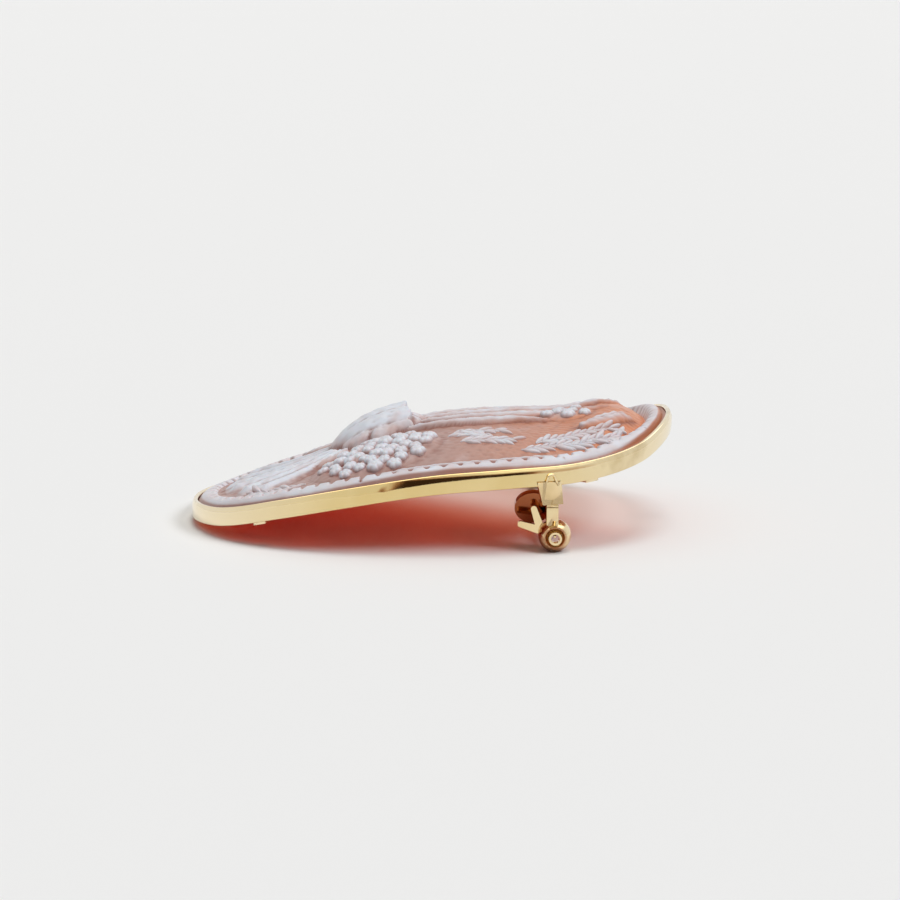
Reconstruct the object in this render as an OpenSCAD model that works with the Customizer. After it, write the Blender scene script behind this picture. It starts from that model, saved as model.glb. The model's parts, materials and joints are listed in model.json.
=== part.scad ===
// A large oval shell cameo brooch in a thin gold band, lying face up.
// +X runs to the upper end of the cameo, -Y is the side of the catch, +Z is up.
// The origin lies on the surface that the brooch rests on, under its middle.

/* [Outline] */
// Length over the bezel, from the lower end to the upper end
brooch_len = 57; // [52:0.2:64]
// Width over the bezel
brooch_w = 42.5; // [39:0.5:47]
// Fullness of the outline at the lower end, 2 for an ellipse
full_low = 2.15; // [2:0.05:2.4]
// Fullness of the outline at the upper end
full_high = 2.5; // [2:0.05:2.8]

/* [Lie] */
// How much higher the upper end's rim lies than the lower end's
rise = 10.8; // [10:0.1:12]
// Sideways lean of the plate in degrees, its catch side higher
lean = 3.4; // [2.6:0.1:3.8]

/* [Bezel] */
// Height of the gold band
band_h = 2.2; // [1.8:0.1:2.8]
// Wall of the gold band
band_t = 0.5; // [0.4:0.05:0.8]
// Outward swell of the band's face
band_swell = 0.08; // [0.04:0.01:0.15]
// Rounding of the band's edges
band_edge = 0.16; // [0.08:0.02:0.24]
// Reach of the band's burnished lip over the shell
lip = 0.15; // [0.1:0.05:0.3]
// Height of that lip
lip_h = 0.3; // [0.2:0.05:0.4]
// Width of a claw folded under the shell
claw_w = 1.7; // [1:0.1:2.4]
// Reach of a claw in from the band
claw_reach = 1.5; // [1:0.1:2.2]
// Thickness of a claw
claw_t = 0.35; // [0.25:0.05:0.45]

/* [Shell] */
// Clearance between the shell and the gold
shell_gap = 0.05; // [0.03:0.01:0.1]
// Height of the shell's underside over the band's lower edge, at its seat
seat_up = 0.3; // [0.2:0.05:0.5]
// Breadth of the flat seat round the underside
seat_w = 2.4; // [1.8:0.1:3]
// Thickness of the shell at its middle, under the relief
shell_t = 2.3; // [1.8:0.1:2.8]
// Height of the dome over the border
dome_h = 3.0; // [2.2:0.1:3.6]
// Fullness of the dome towards its edge, 2 for a round one
dome_full = 2.8; // [2:0.1:4]

/* [Border] */
// Height of the carved border over the band
border_h = 0.85; // [0.6:0.05:1.1]
// Breadth of the carved border
border_w = 2.3; // [1.8:0.1:3]
// Number of scallops round the border
scallops = 84; // [72:2:96]
// Depth of the notch between two scallops
notch = 0.4; // [0.2:0.05:0.6]
// Height of the ground inside the border over the band
ground_up = 0.3; // [0.1:0.05:0.5]

/* [Relief] */
// Height of the middle bloom over the ground
bloom_h = 3.6; // [2.6:0.1:4]
// Radius of the middle bloom
bloom_r = 6.2; // [5.2:0.1:7.2]
// Height of the long leaves
leaf_h = 0.75; // [0.4:0.05:1.2]
// Height of the pleated ribbon tails
pleat_h = 0.9; // [0.5:0.05:1.3]
// Height of the small round flowers
floret_h = 1.1; // [0.6:0.1:1.6]
// Radius of a small round flower
floret_r = 1.5; // [1.2:0.05:1.8]

/* [Catch] */
// Place of the pin, from the middle towards the upper end
pin_at = 14; // [11:0.1:15]
// Radius of the catch's ball
ball_r = 1.88; // [1.7:0.02:2.2]
// How far the ball's centre lies inside the band's outer face
ball_in = 1.9; // [1.4:0.1:2.1]
// Width of the tab at its top
tab_top_w = 2.8; // [2.4:0.05:3.2]
// Width of the tab at its foot
tab_foot_w = 2.35; // [2:0.05:2.6]
// Height of the tab under the band
tab_h = 2.1; // [1.8:0.1:2.4]
// Reach of the tab up over the band's face
tab_up = 0.5; // [0.3:0.05:0.7]
// Thickness of the tab
tab_t = 0.6; // [0.5:0.05:0.65]
// How far the tab stands out of the band's face
tab_out = 0.15; // [0.1:0.01:0.2]
// Offset of the tab's foot from the ball's axis, towards the lower end
tab_off = 0.33; // [0.2:0.01:0.45]
// Further offset of its top
tab_slant = 0.47; // [0.2:0.01:0.6]
// Width of the neck between tab and ball
neck_w = 1.3; // [1:0.05:1.5]
// Width and depth of the groove across the neck
groove = 0.22; // [0.1:0.02:0.3]
// Radius of the wire loop over the tab
loop_r = 0.42; // [0.35:0.01:0.5]
// Radius of that wire
loop_wire = 0.15; // [0.1:0.01:0.18]
// Length of the loop's longer leg
loop_leg = 0.9; // [0.7:0.05:1.1]
// Thickness of the ball's closed front, before the pin's slot begins
front_wall = 0.75; // [0.6:0.05:0.9]
// Clearance beside the pin in its slot
pin_gap = 0.12; // [0.1:0.01:0.16]
// Radius of the recess in the ball's front, round the tube
recess_r = 1.08; // [1:0.02:1.16]
// Depth of that recess from the ball's foremost point
recess_in = 0.5; // [0.45:0.01:0.55]
// Radius of the round plate behind the lever
guard_r = 2.1; // [1.8:0.05:2.2]
// Thickness of that plate
guard_t = 0.7; // [0.5:0.05:0.9]
// Distance of the plate's centre from the ball's axis, towards the lower end
guard_off = 2.4; // [2.3:0.05:2.5]
// Height of the plate's centre over the ball's axis
guard_up = 2.85; // [2.6:0.05:3]
// Clearance between that plate and the lever
guard_gap = 0.4; // [0.3:0.05:0.5]
// Lean of the plate's top towards the front, in degrees
guard_lean = 25; // [20:1:26]

/* [Turning tube] */
// Radius of the turning tube
tube_r = 0.74; // [0.7:0.02:0.84]
// Radius of its bore
tube_bore = 0.5; // [0.46:0.01:0.54]
// How far the tube's end stands out of the ball
tube_out = 0.12; // [0.05:0.01:0.3]
// Running clearance round the tube
run_gap = 0.05; // [0.03:0.01:0.08]
// Thickness of the forked lever
lever_t = 0.55; // [0.4:0.05:0.65]
// How far the lever lies behind the ball's middle
lever_back = 0.4; // [0.2:0.05:0.5]
// Direction of the lever, open, in degrees up from the upper end's side
lever_at = 163; // [160:1:166]
// Width of the lever where it leaves the tube
stem_w = 0.6; // [0.5:0.05:0.7]
// Distance from the tube's axis to the fork
stem_len = 1.6; // [1.5:0.05:1.8]
// Radius of the lever at the fork
fork_r = 0.5; // [0.4:0.02:0.54]
// Length of the lower prong, which runs straight on
low_len = 2.4; // [2:0.05:2.6]
// Length of the upper prong
high_len = 2.6; // [2.2:0.05:2.8]
// Angle between the two prongs, in degrees
prong_turn = 55; // [50:1:58]
// Radius at the end of a prong
prong_r = 0.35; // [0.3:0.01:0.4]
// Turn of the lever from open to locked
lever_turn = 75; // [60:1:80]

/* [Pin and hinge] */
// Radius of the pin's stem
pin_r = 0.38; // [0.32:0.01:0.42]
// Length of the pin's point
point_len = 3; // [2:0.1:4]
// How far the hinge's axis lies inside the band's outer face
hinge_in = 2.4; // [2:0.1:3]
// Width of the pin's knuckle
knuckle_w = 1.5; // [1.2:0.1:2]
// Radius of the knuckle
knuckle_r = 1.15; // [0.95:0.05:1.3]
// Thickness of a hinge ear
ear_t = 0.7; // [0.5:0.05:1]
// Clearance on each side of the knuckle
side_gap = 0.08; // [0.05:0.01:0.12]
// Clearance between the knuckle and the plate that joins the ears
bridge_gap = 0.35; // [0.25:0.05:0.5]
// Thickness of the plate that joins the ears
bridge_t = 0.8; // [0.6:0.05:1]
// Radius of the rivet
rivet_r = 0.42; // [0.36:0.01:0.48]
// Clearance round the rivet in the ears
rivet_gap = 0.02; // [0.01:0.01:0.05]
// Radius of a rivet's head
head_r = 0.66; // [0.56:0.02:0.8]
// Thickness of a rivet's head
head_t = 0.18; // [0.12:0.02:0.3]

/* [Hidden] */
$fn = 48;
half_l = brooch_len / 2;
half_w = brooch_w / 2;
// Points round the rim: two to a scallop
rim_n = 2 * scallops;
// Smallest overlap of two soldered forms, and how far a cut runs past the form it cuts
sink = 0.1;
beyond = 1;
// Depth of the neck in the ball, the loop's shorter leg, the pin's tip and the ears' slant, as shares
neck_in = 0.8;
short_leg = 0.5;
tip_share = 1 / 3;
ear_slant = 1.5;
// Room beside the lever in the ball's window, more on the upper prong's side, and the splay of the
// loop's legs, in degrees
window_room = 10;
fork_room = 4;
splay = 25;
// Steps of the form of a wedge
wedge_steps = 6;

// Rim's curve along the brooch: place as a share of half the length, height as a share of the rise
RIM = [[-1, 0], [-0.85, 0.04], [-0.6, 0.2], [-0.3, 0.37], [0, 0.5],
       [0.3, 0.563], [0.6, 0.615], [0.85, 0.765], [1, 1]];

// Rounded interpolation through a table's rows, of column c over the first column
function seg(t, tab, i = 0) = i >= len(tab) - 2 || t < tab[i + 1][0] ? i : seg(t, tab, i + 1);
function slope(tab, i, c) =
    let (a = max(i - 1, 0), b = min(i + 1, len(tab) - 1))
    (tab[b][c] - tab[a][c]) / (tab[b][0] - tab[a][0]);
function blend(t, tab, c) =
    let (i = seg(t, tab), w = tab[i + 1][0] - tab[i][0], s = (t - tab[i][0]) / w)
    (2 * s * s * s - 3 * s * s + 1) * tab[i][c] + (s * s * s - 2 * s * s + s) * w * slope(tab, i, c)
    + (3 * s * s - 2 * s * s * s) * tab[i + 1][c] + (s * s * s - s * s) * w * slope(tab, i + 1, c);
function along(p, tab, c = 1) = blend(max(-1, min(1, p[0] / half_l)), tab, c);

// The outline: a point at angle a, its outward direction, and its half width at a place x
function full(c) = c < 0 ? full_low : full_high;
function keep_sign(v, p) = sign(v) * pow(abs(v), p);
function rim_pt(a) = [half_l * keep_sign(cos(a), 2 / full(cos(a))),
                      half_w * keep_sign(sin(a), 2 / full(cos(a)))];
function rim_out(a) =
    let (d = rim_pt(a + 1) - rim_pt(a - 1)) [d[1], -d[0]] / norm(d);
function rim_half(x) = half_w * pow(1 - pow(abs(x) / half_l, full(x)), 1 / full(x));
// Height of the band's lower edge, anywhere in the plate, and its height over the surface once laid
function plate_z(p) = rise * along(p, RIM) - tan(lean) * p[1];
low_z = min([for (a = [90 : 3 : 270]) plate_z(rim_pt(a))]);
function lie_z(p) = plate_z(p) - low_z;

// Triangles between two rings of n points each, that start at points a and b of a skin
function even_faces(a, b, n) = [
    for (j = [0 : n - 1]) let (k = (j + 1) % n) each [[a + j, b + j, a + k], [a + k, b + j, b + k]]];
// Triangles between a ring of 2 n points at a and a ring of n points at b, and back
function halving_faces(a, b, n) = [
    for (j = [0 : n - 1]) let (p = a + 2 * j, q = a + (2 * j + 2) % (2 * n), c = b + j, d = b + (j + 1) % n)
        each [[p, c, p + 1], [p + 1, c, d], [p + 1, d, q]]];
function flipped(faces) = [for (f = faces) [f[2], f[1], f[0]]];
function hub_faces(a, n, hub) = [for (j = [0 : n - 1]) [a + j, hub, a + (j + 1) % n]];

// The gold band: its cross-section as places out from the wall's outer line and up from its edge
band_sec = [
    [-band_edge, 0], [0, band_edge], [band_swell, band_h / 2], [0, band_h - band_edge],
    [-band_edge, band_h], [-band_t - lip, band_h - band_edge / 2], [-band_t - lip, band_h - lip_h],
    [-band_t, band_h - lip_h - lip], [-band_t, 0]];
module band() {
    m = len(band_sec);
    polyhedron(
        points = [for (i = [0 : rim_n - 1])
            let (a = 360 * i / rim_n, p = rim_pt(a), o = rim_out(a))
            for (s = band_sec)
                let (q = p + o * (s[0] - band_swell)) [q[0], q[1], lie_z(p) + s[1]]],
        faces = [for (i = [0 : rim_n - 1], j = [0 : m - 1])
            let (k = (i + 1) % rim_n, l = (j + 1) % m)
            each [[i * m + j, i * m + l, k * m + j], [i * m + l, k * m + l, k * m + j]]]);
}

// A claw folded under the shell at angle a
CLAW_AT = [0, 55, 132, 228, 305];
module claw(a) {
    half_turn = asin(claw_w / 2 / norm(rim_pt(a)));
    // Flat under the band, then bent in with the shell: places inside the outline
    inset = [band_swell + band_edge, band_swell + band_t, band_t + claw_reach];
    pts = [for (z = [-claw_t + sink, sink], t = [a - half_turn, a + half_turn], i = [0 : 2])
        let (p = rim_pt(t), q = p - rim_out(t) * inset[i]) [q[0], q[1], lie_z(i < 2 ? p : q) + z]];
    // Its sides, then its ends, each quarter split into two triangles
    quads = concat(
        [for (i = [0, 1]) each [[3 + i, 4 + i, 1 + i, i], [7 + i, 10 + i, 9 + i, 6 + i],
                                [1 + i, 7 + i, 6 + i, i], [9 + i, 10 + i, 4 + i, 3 + i]]],
        [[6, 9, 3, 0], [5, 11, 8, 2]]);
    polyhedron(pts, [for (q = quads) each [[q[0], q[1], q[2]], [q[0], q[2], q[3]]]]);
}

// Places of the catch and of the hinge. Ball and ears rest on the surface.
ball_y = -(rim_half(pin_at) - ball_in);
hinge_y = rim_half(pin_at) - hinge_in;
near_z = lie_z([pin_at, -rim_half(pin_at)]);
far_z = lie_z([pin_at, rim_half(pin_at)]);
slot_w = 2 * (pin_r + pin_gap);
axis_z = sqrt(ball_r * ball_r - slot_w * slot_w / 4);
slot_y = ball_y - ball_r + front_wall;
lever_y = ball_y + lever_back;
back_y = ball_y + ball_r - sink;
// How the band runs past the catch, in degrees
rim_turn = atan((rim_half(pin_at - beyond) - rim_half(pin_at + beyond)) / (2 * beyond));

// A flat form drawn in X and Z, standing between two places along Y
module upright(y0, y1) {
    translate([0, y1, 0]) rotate([90, 0, 0]) linear_extrude(y1 - y0) children();
}
// A wedge of a circle in X and Z, from angle a to angle b
module wedge(r, a, b) {
    polygon(concat([[0, 0]], [for (i = [0 : wedge_steps])
        let (t = a + (b - a) * i / wedge_steps) [r * cos(t), r * sin(t)]]));
}

// The ball with its bore, the recess round the tube's end, the slot that lets the pin out and the
// window that the lever sweeps
module catch_ball() {
    // Half the angle that the lever fills where it leaves the tube, and room beside it
    window = asin(stem_w / 2 / tube_r) + window_room;
    difference() {
        translate([pin_at, ball_y, axis_z]) sphere(ball_r);
        translate([pin_at, ball_y + ball_r + beyond, axis_z])
            rotate([90, 0, 0]) cylinder(r = tube_r + run_gap, h = 2 * (ball_r + beyond));
        translate([pin_at, ball_y - ball_r + recess_in, axis_z])
            rotate([90, 0, 0]) cylinder(r = recess_r, h = beyond);
        translate([pin_at - slot_w / 2, slot_y, axis_z - ball_r - beyond])
            cube([slot_w, 2 * ball_r, ball_r + beyond]);
        translate([pin_at, 0, axis_z])
            upright(lever_y - run_gap, lever_y + lever_t + run_gap)
            wedge(ball_r + beyond, lever_at - window - fork_room, lever_at + lever_turn + window);
    }
}

// A place on the band at the catch, turned as the band runs there
module on_band() {
    translate([pin_at, -rim_half(pin_at), 0]) rotate([0, 0, rim_turn]) children();
}

// The tapered tab, the neck with its groove, and the round plate behind the lever
module catch_tab() {
    foot_z = near_z - tab_h;
    top_z = near_z + tab_up;
    top_x = -tab_off - tab_slant;
    neck_x = pin_at - tab_off - neck_w / 2;
    neck_y = -rim_half(pin_at) + sink / 2;
    neck_z = axis_z + neck_in * ball_r;
    guard_y = lever_y + lever_t + guard_gap;
    on_band() upright(-tab_out, tab_t - tab_out)
        polygon([[-tab_off - tab_foot_w / 2, foot_z], [-tab_off + tab_foot_w / 2, foot_z],
                 [top_x + tab_top_w / 2, top_z], [top_x - tab_top_w / 2, top_z]]);
    difference() {
        translate([neck_x, neck_y, neck_z])
            cube([neck_w, guard_y + guard_t - neck_y, foot_z + tab_h / 2 - neck_z]);
        translate([neck_x - sink, neck_y - sink, foot_z - 2 * groove])
            cube([neck_w + 2 * sink, groove + sink, groove]);
    }
    translate([pin_at - guard_off, guard_y, axis_z + guard_up]) rotate([guard_lean, 0, 0])
        upright(0, guard_t) circle(guard_r);
}

// The loop of wire soldered over the tab: a bend between two legs that splay
module tab_loop() {
    on_band() translate([-tab_off - tab_slant / 2, -tab_out, near_z + tab_up + loop_r]) {
        rotate([90, 0, 0]) rotate_extrude(angle = 180) translate([loop_r, 0]) circle(loop_wire);
        for (s = [[1, loop_leg], [-1, loop_leg * short_leg]])
            translate([s[0] * loop_r, 0, 0]) {
                sphere(loop_wire);
                rotate([0, 180 - s[0] * splay, 0]) cylinder(r = loop_wire, h = s[1]);
            }
    }
}

// Two ears and a plate that carry the pin, soldered under the band
hinge_w = knuckle_w + 2 * side_gap + 2 * ear_t;
module hinge_bracket() {
    top_y = rim_half(pin_at) - band_swell - band_edge;
    top_z = far_z + sink;
    bridge_z = axis_z + knuckle_r + bridge_gap;
    difference() {
        union() {
            for (x = [pin_at - hinge_w / 2, pin_at + hinge_w / 2 - ear_t])
                translate([x, 0, 0]) rotate([90, 0, 90]) linear_extrude(ear_t) union() {
                    translate([hinge_y, axis_z]) circle(axis_z);
                    polygon([[hinge_y - axis_z, axis_z], [hinge_y + axis_z, axis_z],
                             [top_y, top_z], [top_y - ear_slant * axis_z, top_z]]);
                }
            translate([pin_at - hinge_w / 2, top_y - bridge_t - sink, bridge_z])
                cube([hinge_w, bridge_t, top_z - bridge_z]);
        }
        translate([pin_at - hinge_w, hinge_y, axis_z]) rotate([0, 90, 0])
            cylinder(r = rivet_r + rivet_gap, h = 2 * hinge_w);
    }
}

module bezel() {
    color("gold") union() {
        band();
        for (a = CLAW_AT) claw(a);
        catch_ball();
        catch_tab();
        tab_loop();
        hinge_bracket();
    }
}

// The turning tube with its slot, and the forked lever on it
function way(a) = [cos(a), sin(a)];
fork_at = stem_len * way(lever_at);
high_end = fork_at + high_len * way(lever_at - prong_turn);
low_end = fork_at + low_len * way(lever_at);
// A bar in X and Z with rounded ends, from point a to point b
module bar(a, b, ra, rb) {
    d = (b - a) / norm(b - a);
    o = [-d[1], d[0]];
    polygon([a + o * ra, a - o * ra, b - o * rb, b + o * rb]);
    translate(a) circle(ra);
    translate(b) circle(rb);
}
module safety_catch() {
    front_y = ball_y - ball_r - tube_out;
    color("goldenrod") translate([pin_at, 0, axis_z]) difference() {
        union() {
            translate([0, back_y, 0]) rotate([90, 0, 0]) cylinder(r = tube_r, h = back_y - front_y);
            upright(lever_y, lever_y + lever_t) {
                bar((tube_r + tube_bore) / 2 * way(lever_at), fork_at, stem_w / 2, fork_r);
                bar(fork_at, high_end, fork_r, prong_r);
                bar(fork_at, low_end, fork_r, prong_r);
            }
        }
        translate([0, back_y + beyond, 0]) rotate([90, 0, 0])
            cylinder(r = tube_bore, h = back_y - front_y + 2 * beyond);
        translate([-slot_w / 2, slot_y, -2 * tube_r])
            cube([slot_w, back_y - slot_y + beyond, 2 * tube_r]);
    }
}

// The pin: knuckle, stem and point
module brooch_pin() {
    tip_y = slot_y + 2 * pin_gap;
    color("khaki") difference() {
        union() {
            translate([pin_at - knuckle_w / 2, hinge_y, axis_z]) rotate([0, 90, 0])
                cylinder(r = knuckle_r, h = knuckle_w);
            translate([pin_at, hinge_y, axis_z]) rotate([90, 0, 0])
                cylinder(r = pin_r, h = hinge_y - tip_y - point_len);
            translate([pin_at, tip_y + point_len, axis_z]) rotate([90, 0, 0])
                cylinder(r1 = pin_r, r2 = pin_r * tip_share, h = point_len);
        }
        translate([pin_at - knuckle_w, hinge_y, axis_z]) rotate([0, 90, 0])
            cylinder(r = rivet_r + run_gap, h = 2 * knuckle_w);
    }
}

// The rivet with its two heads
module hinge_rivet() {
    color("darkgoldenrod") translate([pin_at, hinge_y, axis_z]) rotate([0, 90, 0]) {
        cylinder(r = rivet_r, h = hinge_w + 2 * side_gap, center = true);
        for (s = [-1, 1])
            translate([0, 0, s * (hinge_w / 2 + side_gap + head_t / 2)])
                cylinder(r = head_r, h = head_t, center = true);
    }
}

// The relief. Every form gives its height over the ground at a place p.
function turned(p, at, turn) =
    let (d = p - at) [d[0] * cos(turn) + d[1] * sin(turn), d[1] * cos(turn) - d[0] * sin(turn)];
function cap(q) = q < 1 ? sqrt(1 - q * q) : 0;
function swell(q) = q < 1 ? 1 - q * q : 0;
function place(along_share, across_share) = [along_share * half_l, across_share * half_w];

// The middle bloom: ruffled rounds of petals that rise to its heart.
// Its middle as shares, its petals, how deep they are ruffled, and how far they turn towards the edge
bloom_at = [-0.22, 0.1];
petals = 7;
ruffle = 0.12;
petal_turn = 300;
function bloom(p) =
    let (d = p - place(bloom_at[0], bloom_at[1]), q = norm(d) / bloom_r, a = atan2(d[1], d[0]))
    bloom_h * cap(q) * (1 - ruffle + ruffle * cos(petals * a + petal_turn * q));

// Long leaves: place of the root, length, breadth as shares, and turn in degrees
LEAVES = [
    [-0.1, 0.34, 0.74, 0.17, 6], [-0.08, 0.12, 0.8, 0.16, 1], [-0.1, -0.12, 0.76, 0.15, -5],
    [-0.08, 0.56, 0.58, 0.14, 2], [0.1, -0.36, 0.46, 0.14, -3], [0.6, -0.44, 0.28, 0.13, 28],
    [0.62, 0.42, 0.26, 0.12, -24], [-0.34, -0.2, 0.3, 0.15, 205], [-0.3, 0.52, 0.3, 0.15, 160]];
function leaf(p, l) =
    let (d = turned(p, place(l[0], l[1]), l[4]), s = d[0] / (l[2] * half_l),
         w = l[3] * half_w * pow(sin(180 * max(0, min(1, s))), 0.6) / 2)
    s <= 0 || s >= 1 || abs(d[1]) >= w ? 0 : leaf_h * swell(d[1] / w);

// Pleated ribbon tails: place of the knot, length and breadth as shares, turn and number of pleats
TAILS = [[-0.4, 0.0, 0.44, 0.52, 168, 5], [-0.36, -0.1, 0.4, 0.46, 205, 4]];
function tail(p, l) =
    let (d = turned(p, place(l[0], l[1]), l[4]), s = d[0] / (l[2] * half_l),
         w = l[3] * half_w * (0.35 + 0.65 * s) / 2, t = d[1] / w)
    s <= 0 || s >= 1 || abs(t) >= 1 ? 0
        : pleat_h * (0.6 + 0.4 * cos(180 * l[5] * t)) * min(1, (1 - abs(t)) * 4, (1 - s) * 8);

// Groups of small round flowers: middle, spread along and across, as shares, and their number
GROUPS = [[-0.2, -0.5, 0.26, 0.24, 9], [0.16, -0.58, 0.22, 0.16, 6], [0.52, -0.16, 0.12, 0.14, 4]];
// Turn from one flower of a group to the next, in degrees
golden = 137.5;
function florets(p, g) = max([for (i = [0 : g[4] - 1])
    let (r = sqrt((i + 0.5) / g[4]),
         c = place(g[0] + g[2] * r * cos(golden * i), g[1] + g[3] * r * sin(golden * i)))
    floret_h * swell(norm(p - c) / floret_r)]);

function relief(p) = max(concat([bloom(p)], [for (l = LEAVES) leaf(p, l)],
                                [for (l = TAILS) tail(p, l)], [for (g = GROUPS) florets(p, g)]));

// How the carving swells along the brooch: place, then shares of the dome's and the border's height
CARVING = [[-1, 0, 0.6], [-0.75, 0.1, 0.75], [-0.5, 0.35, 0.85], [-0.25, 0.8, 1],
           [0, 1, 1], [0.5, 1.25, 1.1], [0.8, 2.2, 1.5], [1, 3, 1.8]];
// How deep the underside is hollowed along the brooch, as a share
HOLLOW = [[-1, 0.3], [-0.5, 0.6], [0, 1], [0.5, 1.2], [1, 1.7]];
// The border across its breadth: inset and height as shares, and the notch's share there
BORDER = [[0.16, 0, 0], [0.3, 0.72, 0], [0.5, 1, 0.3], [0.72, 0.92, 1], [0.9, 0.45, 0.8]];
inner_rings = 32;
under_rings = 4;
edge_in = band_t + band_swell + shell_gap;
function raised(p, z) = [p[0], p[1], z];
function shell_pt(a, inset) = rim_pt(a) - rim_out(a) * (edge_in + inset);
// A ring at an inset from the shell's edge, at a height over the band's lower edge,
// and carve more where the border is full height, every second point lower by a notch
function rim_ring(inset, up, carve = 0, cut = 0) = [for (j = [0 : rim_n - 1])
    let (p = shell_pt(360 * j / rim_n, inset))
    raised(p, lie_z(p) + up + carve * along(p, CARVING, 2) - (j % 2) * cut)];
// A ring of the shell's outer wall, which follows the band and so lies level with it
function wall_ring(inset, up) = [for (j = [0 : rim_n - 1])
    let (a = 360 * j / rim_n) raised(shell_pt(a, inset), lie_z(rim_pt(a)) + up)];

// How steeply the relief ends at the border
fade = 12;
// Height of the carved face at a point of ring share r
function face_z(p, r) =
    lie_z(p) + band_h + ground_up * along(p, CARVING, 2)
    + dome_h * along(p, CARVING, 1) * (1 - pow(r, dome_full)) + relief(p) * min(1, (1 - r) * fade);

module cameo_shell() {
    hollow_h = band_h + ground_up + dome_h - shell_t - seat_up;
    lip_foot = band_h - lip_h - shell_gap;
    // Rings with two points to a scallop, from the seat's inner edge out, up and in to the ground
    outer = concat(
        [rim_ring(seat_w, seat_up), wall_ring(0, seat_up), wall_ring(0, lip_foot - lip),
         wall_ring(lip, lip_foot)],
        [for (b = BORDER) rim_ring(lip + b[0] * border_w, band_h, border_h * b[1], notch * b[2])],
        [rim_ring(lip + border_w, band_h, ground_up)]);
    // Rings with one point to a scallop, of the carved face and of the hollow underside
    face = [for (k = [1 : inner_rings - 1]) let (r = 1 - k / inner_rings)
        [for (j = [0 : scallops - 1]) let (p = shell_pt(360 * j / scallops, lip + border_w) * r)
            raised(p, face_z(p, r))]];
    under = [for (k = [1 : under_rings - 1]) let (r = 1 - k / under_rings)
        [for (j = [0 : scallops - 1]) let (p = shell_pt(360 * j / scallops, seat_w) * r)
            raised(p, lie_z(p) + seat_up + hollow_h * along(p, HOLLOW) * (1 - r * r))]];
    face_a = len(outer) * rim_n;
    under_a = face_a + len(face) * scallops;
    hub = under_a + len(under) * scallops;
    color("linen") polyhedron(
        points = concat([for (ring = concat(outer, face, under)) each ring],
            [raised([0, 0], face_z([0, 0], 0)),
             raised([0, 0], lie_z([0, 0]) + seat_up + hollow_h * along([0, 0], HOLLOW))]),
        faces = concat(
            [for (k = [0 : len(outer) - 2]) each even_faces(k * rim_n, (k + 1) * rim_n, rim_n)],
            halving_faces((len(outer) - 1) * rim_n, face_a, scallops),
            [for (k = [0 : len(face) - 2])
                each even_faces(face_a + k * scallops, face_a + (k + 1) * scallops, scallops)],
            hub_faces(hub - len(under) * scallops - scallops, scallops, hub),
            flipped(concat(
                halving_faces(0, under_a, scallops),
                [for (k = [0 : len(under) - 2])
                    each even_faces(under_a + k * scallops, under_a + (k + 1) * scallops, scallops)],
                hub_faces(hub - scallops, scallops, hub + 1)))));
}

cameo_shell();
bezel();
safety_catch();
brooch_pin();
hinge_rivet();
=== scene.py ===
"""Looks of a large oval shell cameo brooch in a gold band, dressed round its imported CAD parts."""
import json
import logging
import math
from dataclasses import dataclass
from enum import Enum
from typing import Callable

import bmesh
import bpy
import numpy as np
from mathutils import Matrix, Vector

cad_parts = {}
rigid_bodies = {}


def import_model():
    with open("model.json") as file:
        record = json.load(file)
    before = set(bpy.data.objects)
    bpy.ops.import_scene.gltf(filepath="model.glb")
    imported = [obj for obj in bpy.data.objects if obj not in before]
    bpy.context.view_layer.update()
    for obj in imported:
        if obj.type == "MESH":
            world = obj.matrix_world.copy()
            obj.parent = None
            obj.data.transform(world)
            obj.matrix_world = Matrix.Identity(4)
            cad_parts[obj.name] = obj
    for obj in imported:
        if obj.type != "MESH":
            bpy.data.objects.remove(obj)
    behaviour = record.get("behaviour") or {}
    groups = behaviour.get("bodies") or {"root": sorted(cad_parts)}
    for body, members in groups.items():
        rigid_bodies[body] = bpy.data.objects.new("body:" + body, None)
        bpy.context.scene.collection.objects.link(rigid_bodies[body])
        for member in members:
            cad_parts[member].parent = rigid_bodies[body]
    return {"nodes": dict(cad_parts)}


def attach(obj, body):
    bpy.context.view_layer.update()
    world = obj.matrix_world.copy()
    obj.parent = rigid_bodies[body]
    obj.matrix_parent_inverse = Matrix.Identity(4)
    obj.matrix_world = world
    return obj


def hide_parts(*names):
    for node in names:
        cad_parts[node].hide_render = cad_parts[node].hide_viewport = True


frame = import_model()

bpy.context.view_layer.update()
LOG = logging.getLogger("cameo_brooch")
MM = 0.001
FULL_TURN = 360.0
Rows = tuple[tuple[float, ...], ...]
Rgb = tuple[float, float, float]


class Body(str, Enum):
    """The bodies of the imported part."""

    PLATE = "plate"
    CATCH = "catch"
    PIN = "pin"


class Slot(str, Enum):
    """The record's material slots."""

    SHELL = "shell"
    GOLD = "gold"


def smooth(value: np.ndarray, low: float, high: float) -> np.ndarray:
    """A soft step.

    Args:
        value: What is tested.
        low: Where the step leaves 0.
        high: Where it reaches 1.

    Returns:
        Numbers from 0 to 1.
    """
    t = np.clip((value - low) / (high - low), 0.0, 1.0)
    return t * t * (3.0 - 2.0 * t)


def bump_at(value: np.ndarray, middle: float, width: float) -> np.ndarray:
    """A soft bump of height 1 round a middle.

    Args:
        value: What is tested.
        middle: Where the bump is highest.
        width: How broad it is.

    Returns:
        Numbers from 0 to 1.
    """
    return np.exp(-(((value - middle) / width) ** 2))


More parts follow.
